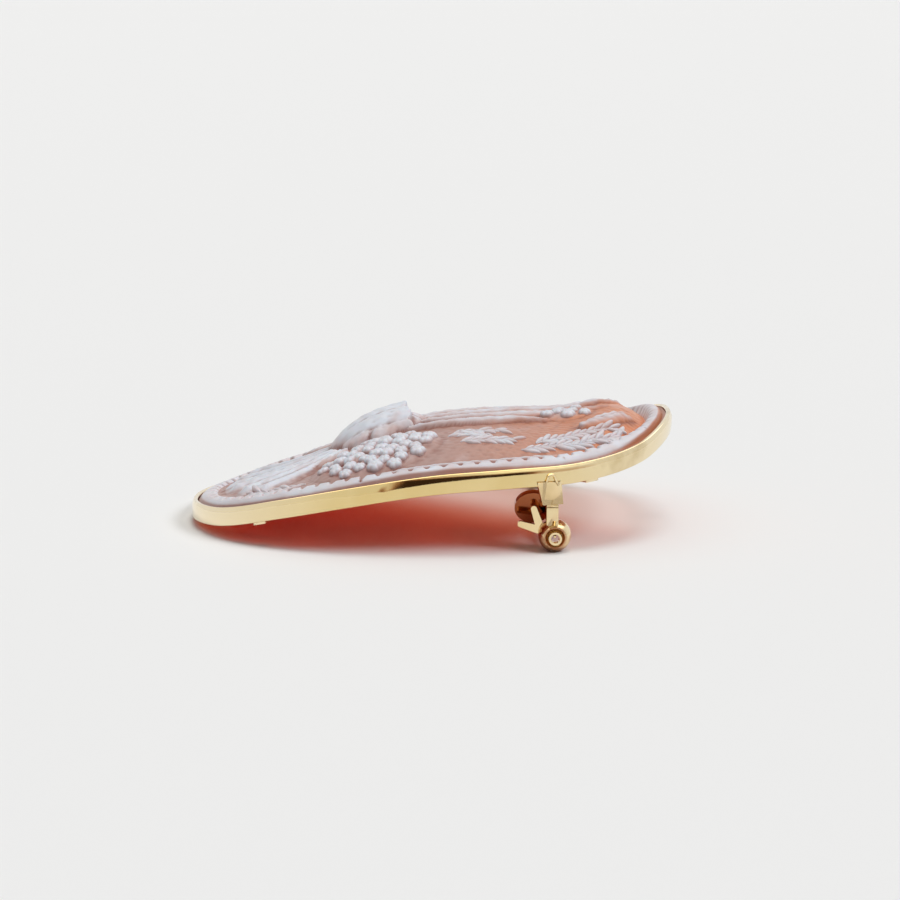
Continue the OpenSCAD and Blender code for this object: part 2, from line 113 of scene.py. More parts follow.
def uneven(x: np.ndarray, y: np.ndarray, size: float, seed: int) -> np.ndarray:
    """Soft unevenness over a plane, from a few crossing waves.

    Args:
        x: Places along the brooch.
        y: Places across it.
        size: Length of a wave in the same unit.
        seed: Picks the waves.

    Returns:
        Numbers round 0, mostly from -1 to 1.
    """
    rng = np.random.default_rng(seed)
    total = np.zeros(np.shape(x))
    waves = 7
    for _ in range(waves):
        turn, phase, share = rng.uniform(0, math.tau), rng.uniform(0, math.tau), rng.uniform(0.6, 1.7)
        way = x * math.cos(turn) + y * math.sin(turn)
        total = total + np.sin(way * math.tau / (size * share) + phase)
    return total / math.sqrt(waves)


@dataclass(frozen=True)
class Curve:
    """A rounded curve through a table's rows, over its first column."""

    rows: Rows

    def at(self, place: np.ndarray, column: int = 1) -> np.ndarray:
        """Reads the curve.

        Args:
            place: Where, in the first column's measure.
            column: Which column to read.

        Returns:
            The curve's values there.
        """
        table = np.array(self.rows, float)
        xs, ys = table[:, 0], table[:, column]
        last = len(xs) - 1
        before = np.maximum(np.arange(last + 1) - 1, 0)
        after = np.minimum(np.arange(last + 1) + 1, last)
        slope = (ys[after] - ys[before]) / (xs[after] - xs[before])
        t = np.clip(place, xs[0], xs[-1])
        i = np.clip(np.searchsorted(xs, t, side="right") - 1, 0, last - 1)
        w = xs[i + 1] - xs[i]
        s = (t - xs[i]) / w
        start = (2 * s**3 - 3 * s**2 + 1) * ys[i] + (s**3 - 2 * s**2 + s) * w * slope[i]
        return start + (3 * s**2 - 2 * s**3) * ys[i + 1] + (s**3 - s**2) * w * slope[i + 1]


@dataclass(frozen=True)
class Plate:
    """The brooch's outline and the way it lies, in millimetres, as in the part's source."""

    length: float = 57.0
    width: float = 42.5
    full_low: float = 2.15
    full_high: float = 2.5
    rise: float = 10.8
    lean: float = 3.4
    rim: Curve = Curve(
        ((-1, 0), (-0.85, 0.04), (-0.6, 0.2), (-0.3, 0.37), (0, 0.5), (0.3, 0.563), (0.6, 0.615),
         (0.85, 0.765), (1, 1))
    )

    @property
    def half_l(self) -> float:
        """Half the length."""
        return self.length / 2

    @property
    def half_w(self) -> float:
        """Half the width."""
        return self.width / 2

    def rim_point(self, angle: np.ndarray) -> np.ndarray:
        """Points of the outline.

        Args:
            angle: Their places round it, in degrees.

        Returns:
            One row of x and y for each.
        """
        a = np.radians(angle)
        c, s = np.cos(a), np.sin(a)
        power = 2.0 / np.where(c < 0, self.full_low, self.full_high)
        x = self.half_l * np.sign(c) * np.abs(c) ** power
        y = self.half_w * np.sign(s) * np.abs(s) ** power
        return np.stack([x, y], -1)

    def rim_out(self, angle: np.ndarray) -> np.ndarray:
        """Outward directions of the outline.

        Args:
            angle: Places round it, in degrees.

        Returns:
            One unit row of x and y for each.
        """
        d = self.rim_point(np.asarray(angle) + 1) - self.rim_point(np.asarray(angle) - 1)
        d = d / np.linalg.norm(d, axis=-1, keepdims=True)
        return np.stack([d[..., 1], -d[..., 0]], -1)

    def tilt(self, x: np.ndarray, y: np.ndarray) -> np.ndarray:
        """Height of the rim's plane, before the brooch is laid down."""
        return self.rise * self.rim.at(x / self.half_l) - math.tan(math.radians(self.lean)) * y

    def lie(self, x: np.ndarray, y: np.ndarray) -> np.ndarray:
        """Height of the band's lower edge, carried on over the whole plate.

        Args:
            x: Places along the brooch.
            y: Places across it.

        Returns:
            Heights over the surface that it rests on.
        """
        low_end = self.rim_point(np.arange(90, 271, 3))
        return self.tilt(x, y) - self.tilt(low_end[:, 0], low_end[:, 1]).min()


@dataclass(frozen=True)
class BandSizes:
    """The gold band's section, and the shell's seat in it, in millimetres."""

    height: float = 2.2
    wall: float = 0.5
    swell: float = 0.08
    edge: float = 0.16
    lip: float = 0.15
    lip_h: float = 0.3
    gap: float = 0.05

    @property
    def shell_in(self) -> float:
        """How far the shell's edge lies inside the outline."""
        return self.wall + self.swell + self.gap


class Bin:
    """Collects points and faces of one mesh, in millimetres."""

    def __init__(self) -> None:
        """Starts with nothing."""
        self.points: list[np.ndarray] = []
        self.faces: list[np.ndarray] = []
        self.slots: list[np.ndarray] = []
        self.marks: dict[str, list[np.ndarray]] = {}
        self.count = 0

    def add_points(self, points: np.ndarray, **marks: np.ndarray) -> np.ndarray:
        """Adds points with their marks.

        Args:
            points: Rows of x, y and z.
            **marks: Numbers for each point, by the attribute's name.

        Returns:
            The points' indices.
        """
        ids = np.arange(self.count, self.count + len(points))
        self.points.append(np.asarray(points, float))
        for name, values in marks.items():
            self.marks.setdefault(name, []).append(np.broadcast_to(values, (len(points),)))
        self.count += len(points)
        return ids

    def add_ring_faces(self, low: np.ndarray, high: np.ndarray, slot: int = 0) -> None:
        """Joins two rings of as many points each.

        Args:
            low: Indices of the first ring.
            high: Indices of the second ring.
            slot: The material's place on the mesh.
        """
        quads = np.stack([low, np.roll(low, -1), np.roll(high, -1), high], -1)
        self.add_faces(quads, slot)

    def add_faces(self, faces: np.ndarray, slot: int = 0) -> None:
        """Adds faces of one size.

        Args:
            faces: Rows of point indices.
            slot: The material's place on the mesh.
        """
        self.faces.append(faces)
        self.slots.append(np.full(len(faces), slot))

    def build(self, name: str, materials: list[bpy.types.Material],
              outward: bool = False) -> bpy.types.Object:
        """Makes the object.

        Args:
            name: The piece's name.
            materials: Its materials, in the order of their places.
            outward: Whether to merge doubles and turn the faces outwards.

        Returns:
            A smooth mesh object at the origin, in metres.
        """
        mesh = bpy.data.meshes.new(name)
        faces = [tuple(f) for block in self.faces for f in block.tolist()]
        mesh.from_pydata((np.concatenate(self.points) * MM).tolist(), [], faces)
        for mark, blocks in self.marks.items():
            attribute = mesh.attributes.new(mark, "FLOAT", "POINT")
            attribute.data.foreach_set("value", np.concatenate(blocks).astype(np.float32))
        mesh.polygons.foreach_set("material_index", np.concatenate(self.slots).astype(np.int32))
        mesh.polygons.foreach_set("use_smooth", np.ones(len(mesh.polygons), bool))
        for material in materials:
            mesh.materials.append(material)
        if outward:
            turn_outward(mesh)
        mesh.update()
        return new_object(name, mesh)


def new_object(name: str, data: bpy.types.ID | None) -> bpy.types.Object:
    """Puts data into the scene.

    Args:
        name: The object's name.
        data: Its mesh, light or camera.

    Returns:
        The object, at the origin.
    """
    obj = bpy.data.objects.new(name, data)
    bpy.context.scene.collection.objects.link(obj)
    return obj


def turn_outward(mesh: bpy.types.Mesh, merge: float = 1e-7) -> None:
    """Merges a mesh's doubles and turns its faces outwards.

    Args:
        mesh: The mesh to mend.
        merge: How near two points are merged, in metres.
    """
    work = bmesh.new()
    work.from_mesh(mesh)
    bmesh.ops.remove_doubles(work, verts=work.verts, dist=merge)
    bmesh.ops.recalc_face_normals(work, faces=work.faces)
    work.to_mesh(mesh)
    work.free()


def disk_grid(cells: int) -> tuple[np.ndarray, np.ndarray, np.ndarray]:
    """A square grid bent to a disk, so that its cells stay about even.

    Args:
        cells: Cells along a side.

    Returns:
        The ring share and the angle of every point, and the cells as rows of indices.
    """
    line = np.linspace(-1, 1, cells + 1)
    gx, gy = np.meshgrid(line, line)
    ring = np.maximum(np.abs(gx), np.abs(gy))
    safe_x = np.where(gx == 0, 1.0, gx)
    safe_y = np.where(gy == 0, 1.0, gy)
    wide = np.abs(gx) >= np.abs(gy)
    angle = np.where(
        wide,
        np.where(gx > 0, 45.0 * gy / safe_x, 180.0 + 45.0 * gy / safe_x),
        np.where(gy > 0, 90.0 - 45.0 * gx / safe_y, 270.0 - 45.0 * gx / safe_y),
    )
    row = np.arange(cells)
    corner = (row[:, None] * (cells + 1) + row[None, :]).ravel()
    quads = np.stack([corner, corner + 1, corner + cells + 2, corner + cells + 1], -1)
    return ring.ravel(), angle.ravel() % FULL_TURN, quads


@dataclass(frozen=True)
class Relief:
    """The carved posy: every form gives its height over the ground, in millimetres."""

    plate: Plate
    bloom_at: tuple[float, float] = (-0.22, 0.1)
    bloom_r: float = 6.2
    bloom_h: float = 3.6
    leaf_h: float = 0.75
    pleat_h: float = 0.9
    floret_h: float = 1.1
    # The bloom's bell: turn in degrees, where its mouth is as a share of the radius, breadth, and flutes
    bell_turn: float = 9.0
    bell_mouth: float = 0.6
    bell_breadth: float = 0.9
    bell_flutes: int = 5
    # Powers of the bell's outline, and of its height along and across, and how much it sinks on the way
    bell_outline: tuple[float, float] = (2.4, 0.55)
    bell_body: tuple[float, float, float] = (3.0, 0.6, 0.62)
    bell_sinks: float = 0.13
    # Cuts in the bell: depth and sharpness of the flutes, depth of the fine lines, and its raised lip
    flute_cut: float = 0.26
    flute_sharp: float = 0.6
    fine_cut: float = 0.03
    bell_lip: float = 0.05
    # Low petals: number, height as a share of the bloom's, roundness, and depth of notches and grooves
    low_petals: int = 8
    petals_up: float = 0.64
    petals_round: float = 0.7
    petal_notch: float = 0.16
    petal_groove: float = 0.45
    # Leaves: power of their outline, roundness, and depth of the ridges, of the side veins and of the rib
    leaf_outline: float = 0.6
    leaf_round: float = 0.7
    ridge_cut: float = 0.26
    vein_cut: float = 0.07
    rib_cut: float = 0.2
    # The mounds' reach past their flowers, and their height as a share of a flower's
    mound_reach: float = 1.15
    mound_up: float = 0.55
    # Long leaves: root, length, breadth as shares, turn in degrees, and ridges along it
    long_leaves: Rows = ((-0.1, 0.34, 0.8, 0.16, 5, 2), (-0.08, 0.14, 0.72, 0.13, 2, 2),
                         (-0.1, 0.0, 0.86, 0.1, -2, 2), (-0.1, -0.16, 0.62, 0.08, -4, 1),
                         (-0.08, 0.58, 0.66, 0.13, 2, 2), (0.3, 0.24, 0.5, 0.1, -2, 1))
    # Short leaves with side veins, in the same measures
    short_leaves: Rows = ((0.6, -0.44, 0.28, 0.13, 28, 7), (0.62, 0.42, 0.26, 0.12, -24, 7),
                          (-0.34, -0.2, 0.3, 0.15, 205, 8), (-0.3, 0.52, 0.3, 0.15, 160, 8))
    # Ribbon tails: knot, length and breadth as shares, turn, and number of pleats
    tails: Rows = ((-0.36, 0.02, 0.5, 0.78, 166, 4), (-0.36, -0.12, 0.46, 0.62, 201, 3))
    # Mounds under the groups of small flowers: middle and spread as shares, and number of flowers
    mounds: Rows = ((-0.22, -0.52, 0.23, 0.25, 46), (0.56, -0.1, 0.1, 0.12, 7))

    def turned(self, x: np.ndarray, y: np.ndarray, row: tuple[float, ...]) -> tuple[np.ndarray, np.ndarray]:
        """Places as seen along and across a form.

        Args:
            x: Places along the brooch.
            y: Places across it.
            row: The form's row: its root as shares first, its length third, its turn fifth.

        Returns:
            The share of the form's length, and the distance from its middle line.
        """
        turn = math.radians(row[4])
        dx, dy = x - row[0] * self.plate.half_l, y - row[1] * self.plate.half_w
        along = (dx * math.cos(turn) + dy * math.sin(turn)) / (row[2] * self.plate.half_l)
        return along, dy * math.cos(turn) - dx * math.sin(turn)

    def bloom(self, x: np.ndarray, y: np.ndarray) -> np.ndarray:
        """The middle bloom: a fluted bell lying on its side, over a low round of petals.

        Args:
            x: Places along the brooch.
            y: Places across it.

        Returns:
            Heights over the ground.
        """
        dx = (x - self.bloom_at[0] * self.plate.half_l) / self.bloom_r
        dy = (y - self.bloom_at[1] * self.plate.half_w) / self.bloom_r
        return np.maximum(self.bell(dx, dy), self.petal_round(dx, dy))

    def bell(self, dx: np.ndarray, dy: np.ndarray) -> np.ndarray:
        """The bell of the bloom, in shares of its radius.

        Args:
            dx: Places along the brooch from the bloom's middle.
            dy: Places across it.

        Returns:
            Heights over the ground, in millimetres.
        """
        turn = math.radians(self.bell_turn)
        along = (dx * math.cos(turn) + dy * math.sin(turn) + 1.0) / (1.0 + self.bell_mouth)
        s = np.clip(along, 1e-4, 1.3)
        swell, narrow = self.bell_outline
        half = self.bell_breadth * (1 - (1 - np.minimum(s, 1)) ** swell) ** narrow
        t = (dy * math.cos(turn) - dx * math.sin(turn)) / half
        across = np.arcsin(np.clip(t, -1, 1)) / math.pi + 0.5
        flute = np.abs(np.sin(math.pi * self.bell_flutes * across))
        fine = np.abs(np.sin(3 * math.pi * self.bell_flutes * across))
        steep, full, arch = self.bell_body
        body = (1 - (1 - np.minimum(s, 1)) ** steep) ** full * (1 - self.bell_sinks * s)
        body = body * np.clip(1 - t**2, 0, 1) ** arch
        cut = self.flute_cut * (flute**self.flute_sharp - 1) + self.fine_cut * (fine - 1)
        lip = self.bell_lip * bump_at(s, 0.95, 0.05)
        height = self.bloom_h * body + (cut + lip) * smooth(s, 0.05, 0.4) * np.clip(4 * (1 - np.abs(t)), 0, 1)
        mouth = smooth(1.0 - 0.055 * (1 - flute) - s, 0.0, 0.03)
        return np.where((along > 0) & (np.abs(t) < 1), np.maximum(height, 0) * mouth, 0)

    def petal_round(self, dx: np.ndarray, dy: np.ndarray) -> np.ndarray:
        """The low round of petals under the bell, in shares of the bloom's radius.

        Args:
            dx: Places along the brooch from the bloom's middle.
            dy: Places across it.

        Returns:
            Heights over the ground, in millimetres.
        """
        rho = np.hypot(dx, dy)
        phase = (np.arctan2(dy, dx) / (2 * math.pi) * self.low_petals + 0.3 * rho) % 1.0
        side = np.abs(phase - 0.5) * 2
        edge = 1.0 - self.petal_notch * side**3
        fine = 0.06 * np.abs(np.sin(phase * 5 * math.pi))
        arch = np.clip(1 - rho**2, 0, 1) ** self.petals_round
        height = self.bloom_h * self.petals_up * arch - self.petal_groove * side**6 + fine
        return np.where(rho < 1, np.maximum(height, 0) * smooth(edge - rho, 0.0, 0.09), 0)

    def leaf(self, x: np.ndarray, y: np.ndarray, row: tuple[float, ...], long: bool) -> np.ndarray:
        """One leaf: a long ridged one or a short veined one.

        Args:
            x: Places along the brooch.
            y: Places across it.
            row: The leaf's row of its table.
            long: Whether its ridges run along it.

        Returns:
            Heights over the ground.
        """
        s, d = self.turned(x, y, row)
        inside = (s > 0) & (s < 1)
        body = np.sin(math.pi * np.clip(s, 0, 1)) ** self.leaf_outline * (1 - 0.5 * smooth(s, 0.55, 1.0))
        half = np.maximum(row[3] * self.plate.half_w * body / 2, 1e-6)
        t = d / half
        wave = d + 0.25 * np.sin(s * 7)
        if long:
            fold = np.abs(np.cos(math.pi * wave / (row[3] * self.plate.half_w) * row[5]))
            fine = self.ridge_cut * fold - 0.2 + 0.03 * np.cos(math.tau * t * 6)
        else:
            veins = np.cos(math.tau * (s * row[5] - np.abs(t) * 0.9)) * smooth(np.abs(t), 0.05, 0.3)
            fine = self.vein_cut * veins - self.rib_cut * bump_at(t, 0.0, 0.1)
        arch = np.clip(1 - t**2, 0, None) ** self.leaf_round
        height = self.leaf_h * arch * np.clip((1 - s) * 4, 0, 1) ** 0.6
        cut = np.maximum(height + fine * np.clip(1 - t**2, 0, 1), 0.02)
        return np.where(inside & (np.abs(t) < 1), cut, 0)

    def tail(self, x: np.ndarray, y: np.ndarray, row: tuple[float, ...]) -> np.ndarray:
        """One pleated ribbon tail.

        Args:
            x: Places along the brooch.
            y: Places across it.
            row: The tail's row of its table.

        Returns:
            Heights over the ground.
        """
        s, d = self.turned(x, y, row)
        half = row[3] * self.plate.half_w * (0.35 + 0.65 * np.clip(s, 0, 1)) / 2
        t = d / half + 0.05 * np.sin(s * 9)
        fold = np.cos(math.pi * row[5] * t)
        pleats = 0.62 + 0.3 * fold + 0.12 * np.abs(np.sin(math.pi * row[5] * t * 1.5 + 0.6))
        hem = np.minimum.reduce([np.ones_like(s), (1 - np.abs(t)) * 5, (1 - s + 0.04 * fold) * 9, s * 12])
        return np.where((s > 0) & (s < 1.04) & (np.abs(t) < 1), self.pleat_h * pleats * np.clip(hem, 0, 1), 0)

    def mound(self, x: np.ndarray, y: np.ndarray, row: tuple[float, ...]) -> np.ndarray:
        """The low mound that a group of small flowers stands on.

        Args:
            x: Places along the brooch.
            y: Places across it.
            row: The group's row of its table.

        Returns:
            Heights over the ground.
        """
        dx = (x - row[0] * self.plate.half_l) / (row[2] * self.plate.half_l * self.mound_reach)
        dy = (y - row[1] * self.plate.half_w) / (row[3] * self.plate.half_w * self.mound_reach)
        lumps = 0.12 * uneven(x, y, 1.7, 5)
        return np.clip(1 - dx**2 - dy**2, 0, None) ** 0.6 * (self.floret_h * self.mound_up + lumps)

    def height(self, x: np.ndarray, y: np.ndarray) -> np.ndarray:
        """The highest of all the forms.

        Args:
            x: Places along the brooch.
            y: Places across it.

        Returns:
            Heights over the ground.
        """
        return self.forms(x, y).max(0)

    def forms(self, x: np.ndarray, y: np.ndarray) -> np.ndarray:
        """Every form's height, the bloom's first and the mounds' last.

        Args:
            x: Places along the brooch.
            y: Places across it.

        Returns:
            One row of heights for each form.
        """
        forms = [self.bloom(x, y)]
        forms += [self.leaf(x, y, row, True) for row in self.long_leaves]
        forms += [self.leaf(x, y, row, False) for row in self.short_leaves]
        forms += [self.tail(x, y, row) for row in self.tails]
        forms += [self.mound(x, y, row) for row in self.mounds]
        return np.stack(forms)

    def whiteness(self, x: np.ndarray, y: np.ndarray) -> np.ndarray:
        """How much of the white layer is left, which shows the ground's colour where it is thin.

        Args:
            x: Places along the brooch.
            y: Places across it.

        Returns:
            Marks from 0 to 1.
        """
        forms = self.forms(x, y)
        first = forms.argmax(0)
        height = forms.max(0)
        mounds = len(forms) - len(self.mounds)
        tails = mounds - len(self.tails)
        thick = smooth(height, 0.3, 0.85) * 0.5 + 0.2 * smooth(height, 0.05, 0.3)
        thick = np.where(first >= tails, 0.38 + 0.52 * smooth(height, 0.15, 0.7), thick)
        thick = np.where(first == 0, 0.45 + 0.5 * smooth(height, 0.6, 2.2), thick)
        return np.where(first >= mounds, 0.3 * smooth(height, 0.1, 0.6), thick) * (height > 0.02)


@dataclass(frozen=True)
class ShellCarving:
    """The carved shell: face, scalloped border, outer wall and hollow underside."""

    plate: Plate
    band: BandSizes
    relief: Relief
    seat_up: float = 0.3
    seat_w: float = 2.4
    thickness: float = 2.3
    dome_h: float = 3.0
    dome_full: float = 2.8
    dome_fuller: float = 1.7
    border_h: float = 0.85
    border_w: float = 2.3
    scallops: int = 84
    notch: float = 0.4
    ground_up: float = 0.3
    cells: int = 252
    carving: Curve = Curve(
        ((-1, 0, 0.6), (-0.75, 0.1, 0.75), (-0.5, 0.35, 0.85), (-0.25, 0.8, 1), (0, 1, 1),
         (0.5, 1.25, 1.1), (0.8, 2.2, 1.5), (1, 3, 1.8))
    )
    hollow: Curve = Curve(((-1, 0.3), (-0.5, 0.6), (0, 1), (0.5, 1.2), (1, 1.7)))
    # Border across its breadth: place, height and notch as shares
    moulding: Curve = Curve(
        ((0.12, -0.05, 0), (0.2, 0.28, 0), (0.3, 0.6, 0), (0.42, 0.8, 0.0), (0.55, 0.93, 0.45),
         (0.68, 1.02, 1.0), (0.79, 0.98, 1.25), (0.9, 0.6, 0.9), (1.0, 0.35, 0.0))
    )
    moulding_rings: int = 16
    under_rings: int = 6
    crack_at: float = 255.0
    # The relief's end at the border: how steep, and the ring share up to which tool marks show
    fade: float = 12.0
    tooled_to: float = 0.985
    # The fillet inside the border: its height, and its ring share and breadth
    fillet: tuple[float, float, float] = (0.3, 0.969, 0.013)
    # Where the border is worn flat, along the brooch
    worn: tuple[float, float] = (17.0, 23.0)
    # How strongly painted shade darkens a hollow of the relief
    darkening: float = 7.5
    # Small drilled dots on the border: angle, place across it, and breadth along and across
    drilled: Rows = ((334.3, 0.42, 0.3, 0.07), (11.5, 0.62, 0.3, 0.07), (297.8, 0.36, 0.25, 0.06))

    def edge_point(self, angle: np.ndarray, inset: float) -> np.ndarray:
        """Points inside the shell's edge.

        Args:
            angle: Places round the outline, in degrees.
            inset: How far inside the edge.

        Returns:
            Rows of x and y.
        """
        return self.plate.rim_point(angle) - self.plate.rim_out(angle) * (self.band.shell_in + inset)

    def ground_edge(self, angle: np.ndarray) -> np.ndarray:
        """The outline of the ground inside the border."""
        return self.edge_point(angle, self.band.lip + self.border_w)

    def ring_share(self, x: np.ndarray, y: np.ndarray) -> np.ndarray:
        """How far out a place lies, from 0 at the middle to 1 at the border.

        Args:
            x: Places along the brooch.
            y: Places across it.

        Returns:
            Shares.
        """
        edge = self.ground_edge(np.linspace(0, FULL_TURN, 1441)[:-1])
        turn = np.arctan2(edge[:, 1], edge[:, 0]) % (2 * math.pi)
        order = np.argsort(turn)
        reach = np.hypot(edge[:, 0], edge[:, 1])[order]
        at = np.arctan2(y, x) % (2 * math.pi)
        return np.hypot(x, y) / np.interp(at, turn[order], reach, period=2 * math.pi)

    def ground(self, x: np.ndarray, y: np.ndarray, share: np.ndarray) -> np.ndarray:
        """Height of the domed ground under the relief.

        Args:
            x: Places along the brooch.
            y: Places across it.
            share: Their ring shares.

        Returns:
            Heights over the surface that the brooch rests on.
        """
        place = x / self.plate.half_l
        full = self.dome_full + self.dome_fuller * smooth(place, 0.55, 0.85)
        dome = self.dome_h * self.carving.at(place, 1) * (1 - share**full)
        level = self.band.height + self.ground_up * self.carving.at(place, 2)
        return self.plate.lie(x, y) + level + dome

    def raised(self, x: np.ndarray, y: np.ndarray, share: np.ndarray) -> np.ndarray:
        """Height of the relief over the ground, faded out at the border, with a fillet line there."""
        high, at, wide = self.fillet
        fillet = high * bump_at(share, at, wide) * self.filleted(x, y)
        tool = 0.03 * uneven(x, y, 1.3, 3) + 0.02 * uneven(x, y, 0.6, 4)
        forms = self.relief.height(x, y) * np.clip((1 - share) * self.fade, 0, 1)
        return np.maximum(forms, fillet) + tool * (share < self.tooled_to)

    def filleted(self, x: np.ndarray, y: np.ndarray) -> np.ndarray:
        """Where a plain fillet runs inside the border: along the middle of the catch side."""
        return smooth(x, -7.0, -3.0) * smooth(-x, -15.0, -12.0) * smooth(-y, 0.0, 4.0)

    def surface(self, x: np.ndarray, y: np.ndarray) -> np.ndarray:
        """Height of the carved face anywhere inside the border."""
        share = self.ring_share(x, y)
        return self.ground(x, y, share) + self.raised(x, y, share)

    def rings(self, store: Bin, edge_ids: np.ndarray) -> None:
        """Adds the border, the outer wall and the underside to the face.

        Args:
            store: Where the mesh is collected.
            edge_ids: The points round the face, in turn from the outline's start.
        """
        count = 4 * self.cells
        angle = np.arange(count) * FULL_TURN / count
        rim = self.plate.rim_point(angle)
        steps = np.linalg.norm(np.roll(rim, -1, axis=0) - rim, axis=1)
        phase = ((np.cumsum(steps) - steps) / steps.sum() * self.scallops) % 1.0
        cut = np.clip(1 - np.abs(phase - 0.5) / 0.2, 0, 1) ** 0.8
        crack = bump_at(angle, self.crack_at, 0.35)
        outer = edge_ids
        for place in np.linspace(1.0, 0.12, self.moulding_rings)[1:]:
            scallop = 0.07 * (1 - cut) * smooth(np.array(place), 0.6, 0.95)
            p = self.edge_point(angle, self.band.lip + place * self.border_w)
            p = p - self.plate.rim_out(angle) * (scallop * self.border_w)[:, None]
            x, y = p[:, 0], p[:, 1]
            fuller = self.carving.at(x / self.plate.half_l, 2)
            up = self.border_h * self.moulding.at(np.array(place), 1) * fuller
            worn = 1 - 0.75 * smooth(x, *self.worn)
            down = self.notch * self.moulding.at(np.array(place), 2) * cut * worn
            dent = 0.12 * crack * smooth(np.array(place), 0.1, 0.4)
            z = self.plate.lie(x, y) + self.band.height + up - down - dent
            middle = smooth(x, -14.0, -2.0) * smooth(-x, -11.0, -3.0)
            brown = 0.12 + 0.12 * middle + 0.2 * smooth(x, 20.0, 26.0)
            bright = smooth(place - brown, -0.04, 0.1)
            # Painted shade in the scallops' notches: they are less white and darker
            hollow = cut * worn * smooth(np.array(place), 0.56, 0.74)
            # The mark holds painted shade in the notches, and also darkens the crack, the drilled dots, the
            # border's outer foot and the walls below it
            ids = store.add_points(
                np.stack([x, y, z], -1), white=bright * (0.7 - 0.45 * hollow),
                crevice=np.clip(crack * (place > 0.25) * 1.6 + hollow + self.dots(angle, place)
                                + 0.75 * (1 - bright) * (place < 0.5), 0, 1.6),
            )
            store.add_ring_faces(outer, ids)
            outer = ids
        lip_foot = self.band.height - self.band.lip_h - self.band.gap
        level = self.plate.lie(rim[:, 0], rim[:, 1])
        walls = ((self.band.lip, lip_foot), (0.0, lip_foot - self.band.lip), (0.0, self.seat_up))
        for inset, up in walls:
            p = self.edge_point(angle, inset)
            ids = store.add_points(np.stack([p[:, 0], p[:, 1], level + up], -1), white=0.0, crevice=0.8)
            store.add_ring_faces(outer, ids)
            outer = ids
        deep = self.band.height + self.ground_up + self.dome_h - self.thickness - self.seat_up
        inner = self.edge_point(angle, self.seat_w)
        for k in range(self.under_rings):
            share = 1 - k / self.under_rings
            p = inner * share
            sink = deep * self.hollow.at(p[:, 0] / self.plate.half_l) * (1 - share**2)
            z = self.plate.lie(p[:, 0], p[:, 1]) + self.seat_up + sink
            ids = store.add_points(np.stack([p[:, 0], p[:, 1], z], -1), white=0.0, crevice=0.0)
            store.add_ring_faces(outer, ids, 1)
            outer = ids
        centre = self.plate.lie(np.array([0.0]), np.array([0.0]))[0] + self.seat_up
        centre += deep * float(self.hollow.at(np.array(0.0)))
        hub = store.add_points(np.array([[0.0, 0.0, centre]]), white=0.0, crevice=0.0)
        store.add_faces(np.stack([outer, np.roll(outer, -1), np.full(count, hub[0])], -1), 1)

    def dots(self, angle: np.ndarray, place: float) -> np.ndarray:
        """The drilled dots' marks on one ring of the border.

        Args:
            angle: Places round the outline, in degrees.
            place: The ring's place across the border.

        Returns:
            Marks from 0 to 1.
        """
        marks = np.zeros(np.shape(angle))
        for at, across, wide, deep in self.drilled:
            off = (angle - at + FULL_TURN / 2) % FULL_TURN - FULL_TURN / 2
            marks = np.maximum(marks, bump_at(off, 0.0, wide) * bump_at(np.array(place), across, deep))
        return marks

    def crevices(self, height: np.ndarray) -> np.ndarray:
        """Painted shade where the relief lies deeper than what is round it.

        Args:
            height: The relief's heights on the square grid.

        Returns:
            Marks from 0 to 1, on the same grid.
        """
        side = self.cells + 1
        field = height.reshape(side, side)
        spread = field
        for _ in range(4):
            padded = np.pad(spread, 2, mode="edge")
            spread = sum(padded[i : i + side, j : j + side] for i in range(5) for j in range(5)) / 25
        return np.clip((spread - field) * self.darkening, 0, 1).ravel()

    def build(self, face: bpy.types.Material, back: bpy.types.Material) -> bpy.types.Object:
        """Builds the carved shell.

        Args:
            face: The finish of its carved face.
            back: The finish of its underside.

        Returns:
            The piece, which stands for the CAD shell.
        """
        store = Bin()
        share, angle, quads = disk_grid(self.cells)
        p = self.ground_edge(angle) * share[:, None]
        x, y = p[:, 0], p[:, 1]
        relief = self.raised(x, y, share)
        z = self.ground(x, y, share) + relief
        fillet = bump_at(share, 0.966, 0.012) * 0.9 * self.filleted(x, y)
        # Painted shade in the groove between the fillet and the border
        painted_groove_shade = 0.9 * smooth(share, 0.972, 0.984) * self.filleted(x, y)
        patches = 1 + 0.12 * uneven(x, y, 2.2, 9)
        bright = np.clip(np.maximum(self.relief.whiteness(x, y) * patches * (share < 0.965), fillet), 0, 1)
        crevice = np.maximum(self.crevices(relief), painted_groove_shade)
        ids = store.add_points(np.stack([x, y, z], -1), white=bright, crevice=crevice)
        store.add_faces(ids[quads])
        around = 4 * self.cells
        at_edge = np.flatnonzero(share > 1 - 1e-9)
        turn = np.rint(angle[at_edge] * around / FULL_TURN).astype(int) % around
        edge_ids = np.empty(around, int)
        edge_ids[turn] = ids[at_edge]
        self.rings(store, edge_ids)
        obj = store.build("shell_carving", [face, back], outward=True)
        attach(obj, Body.PLATE.value)
        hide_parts("cameo_shell")
        return obj


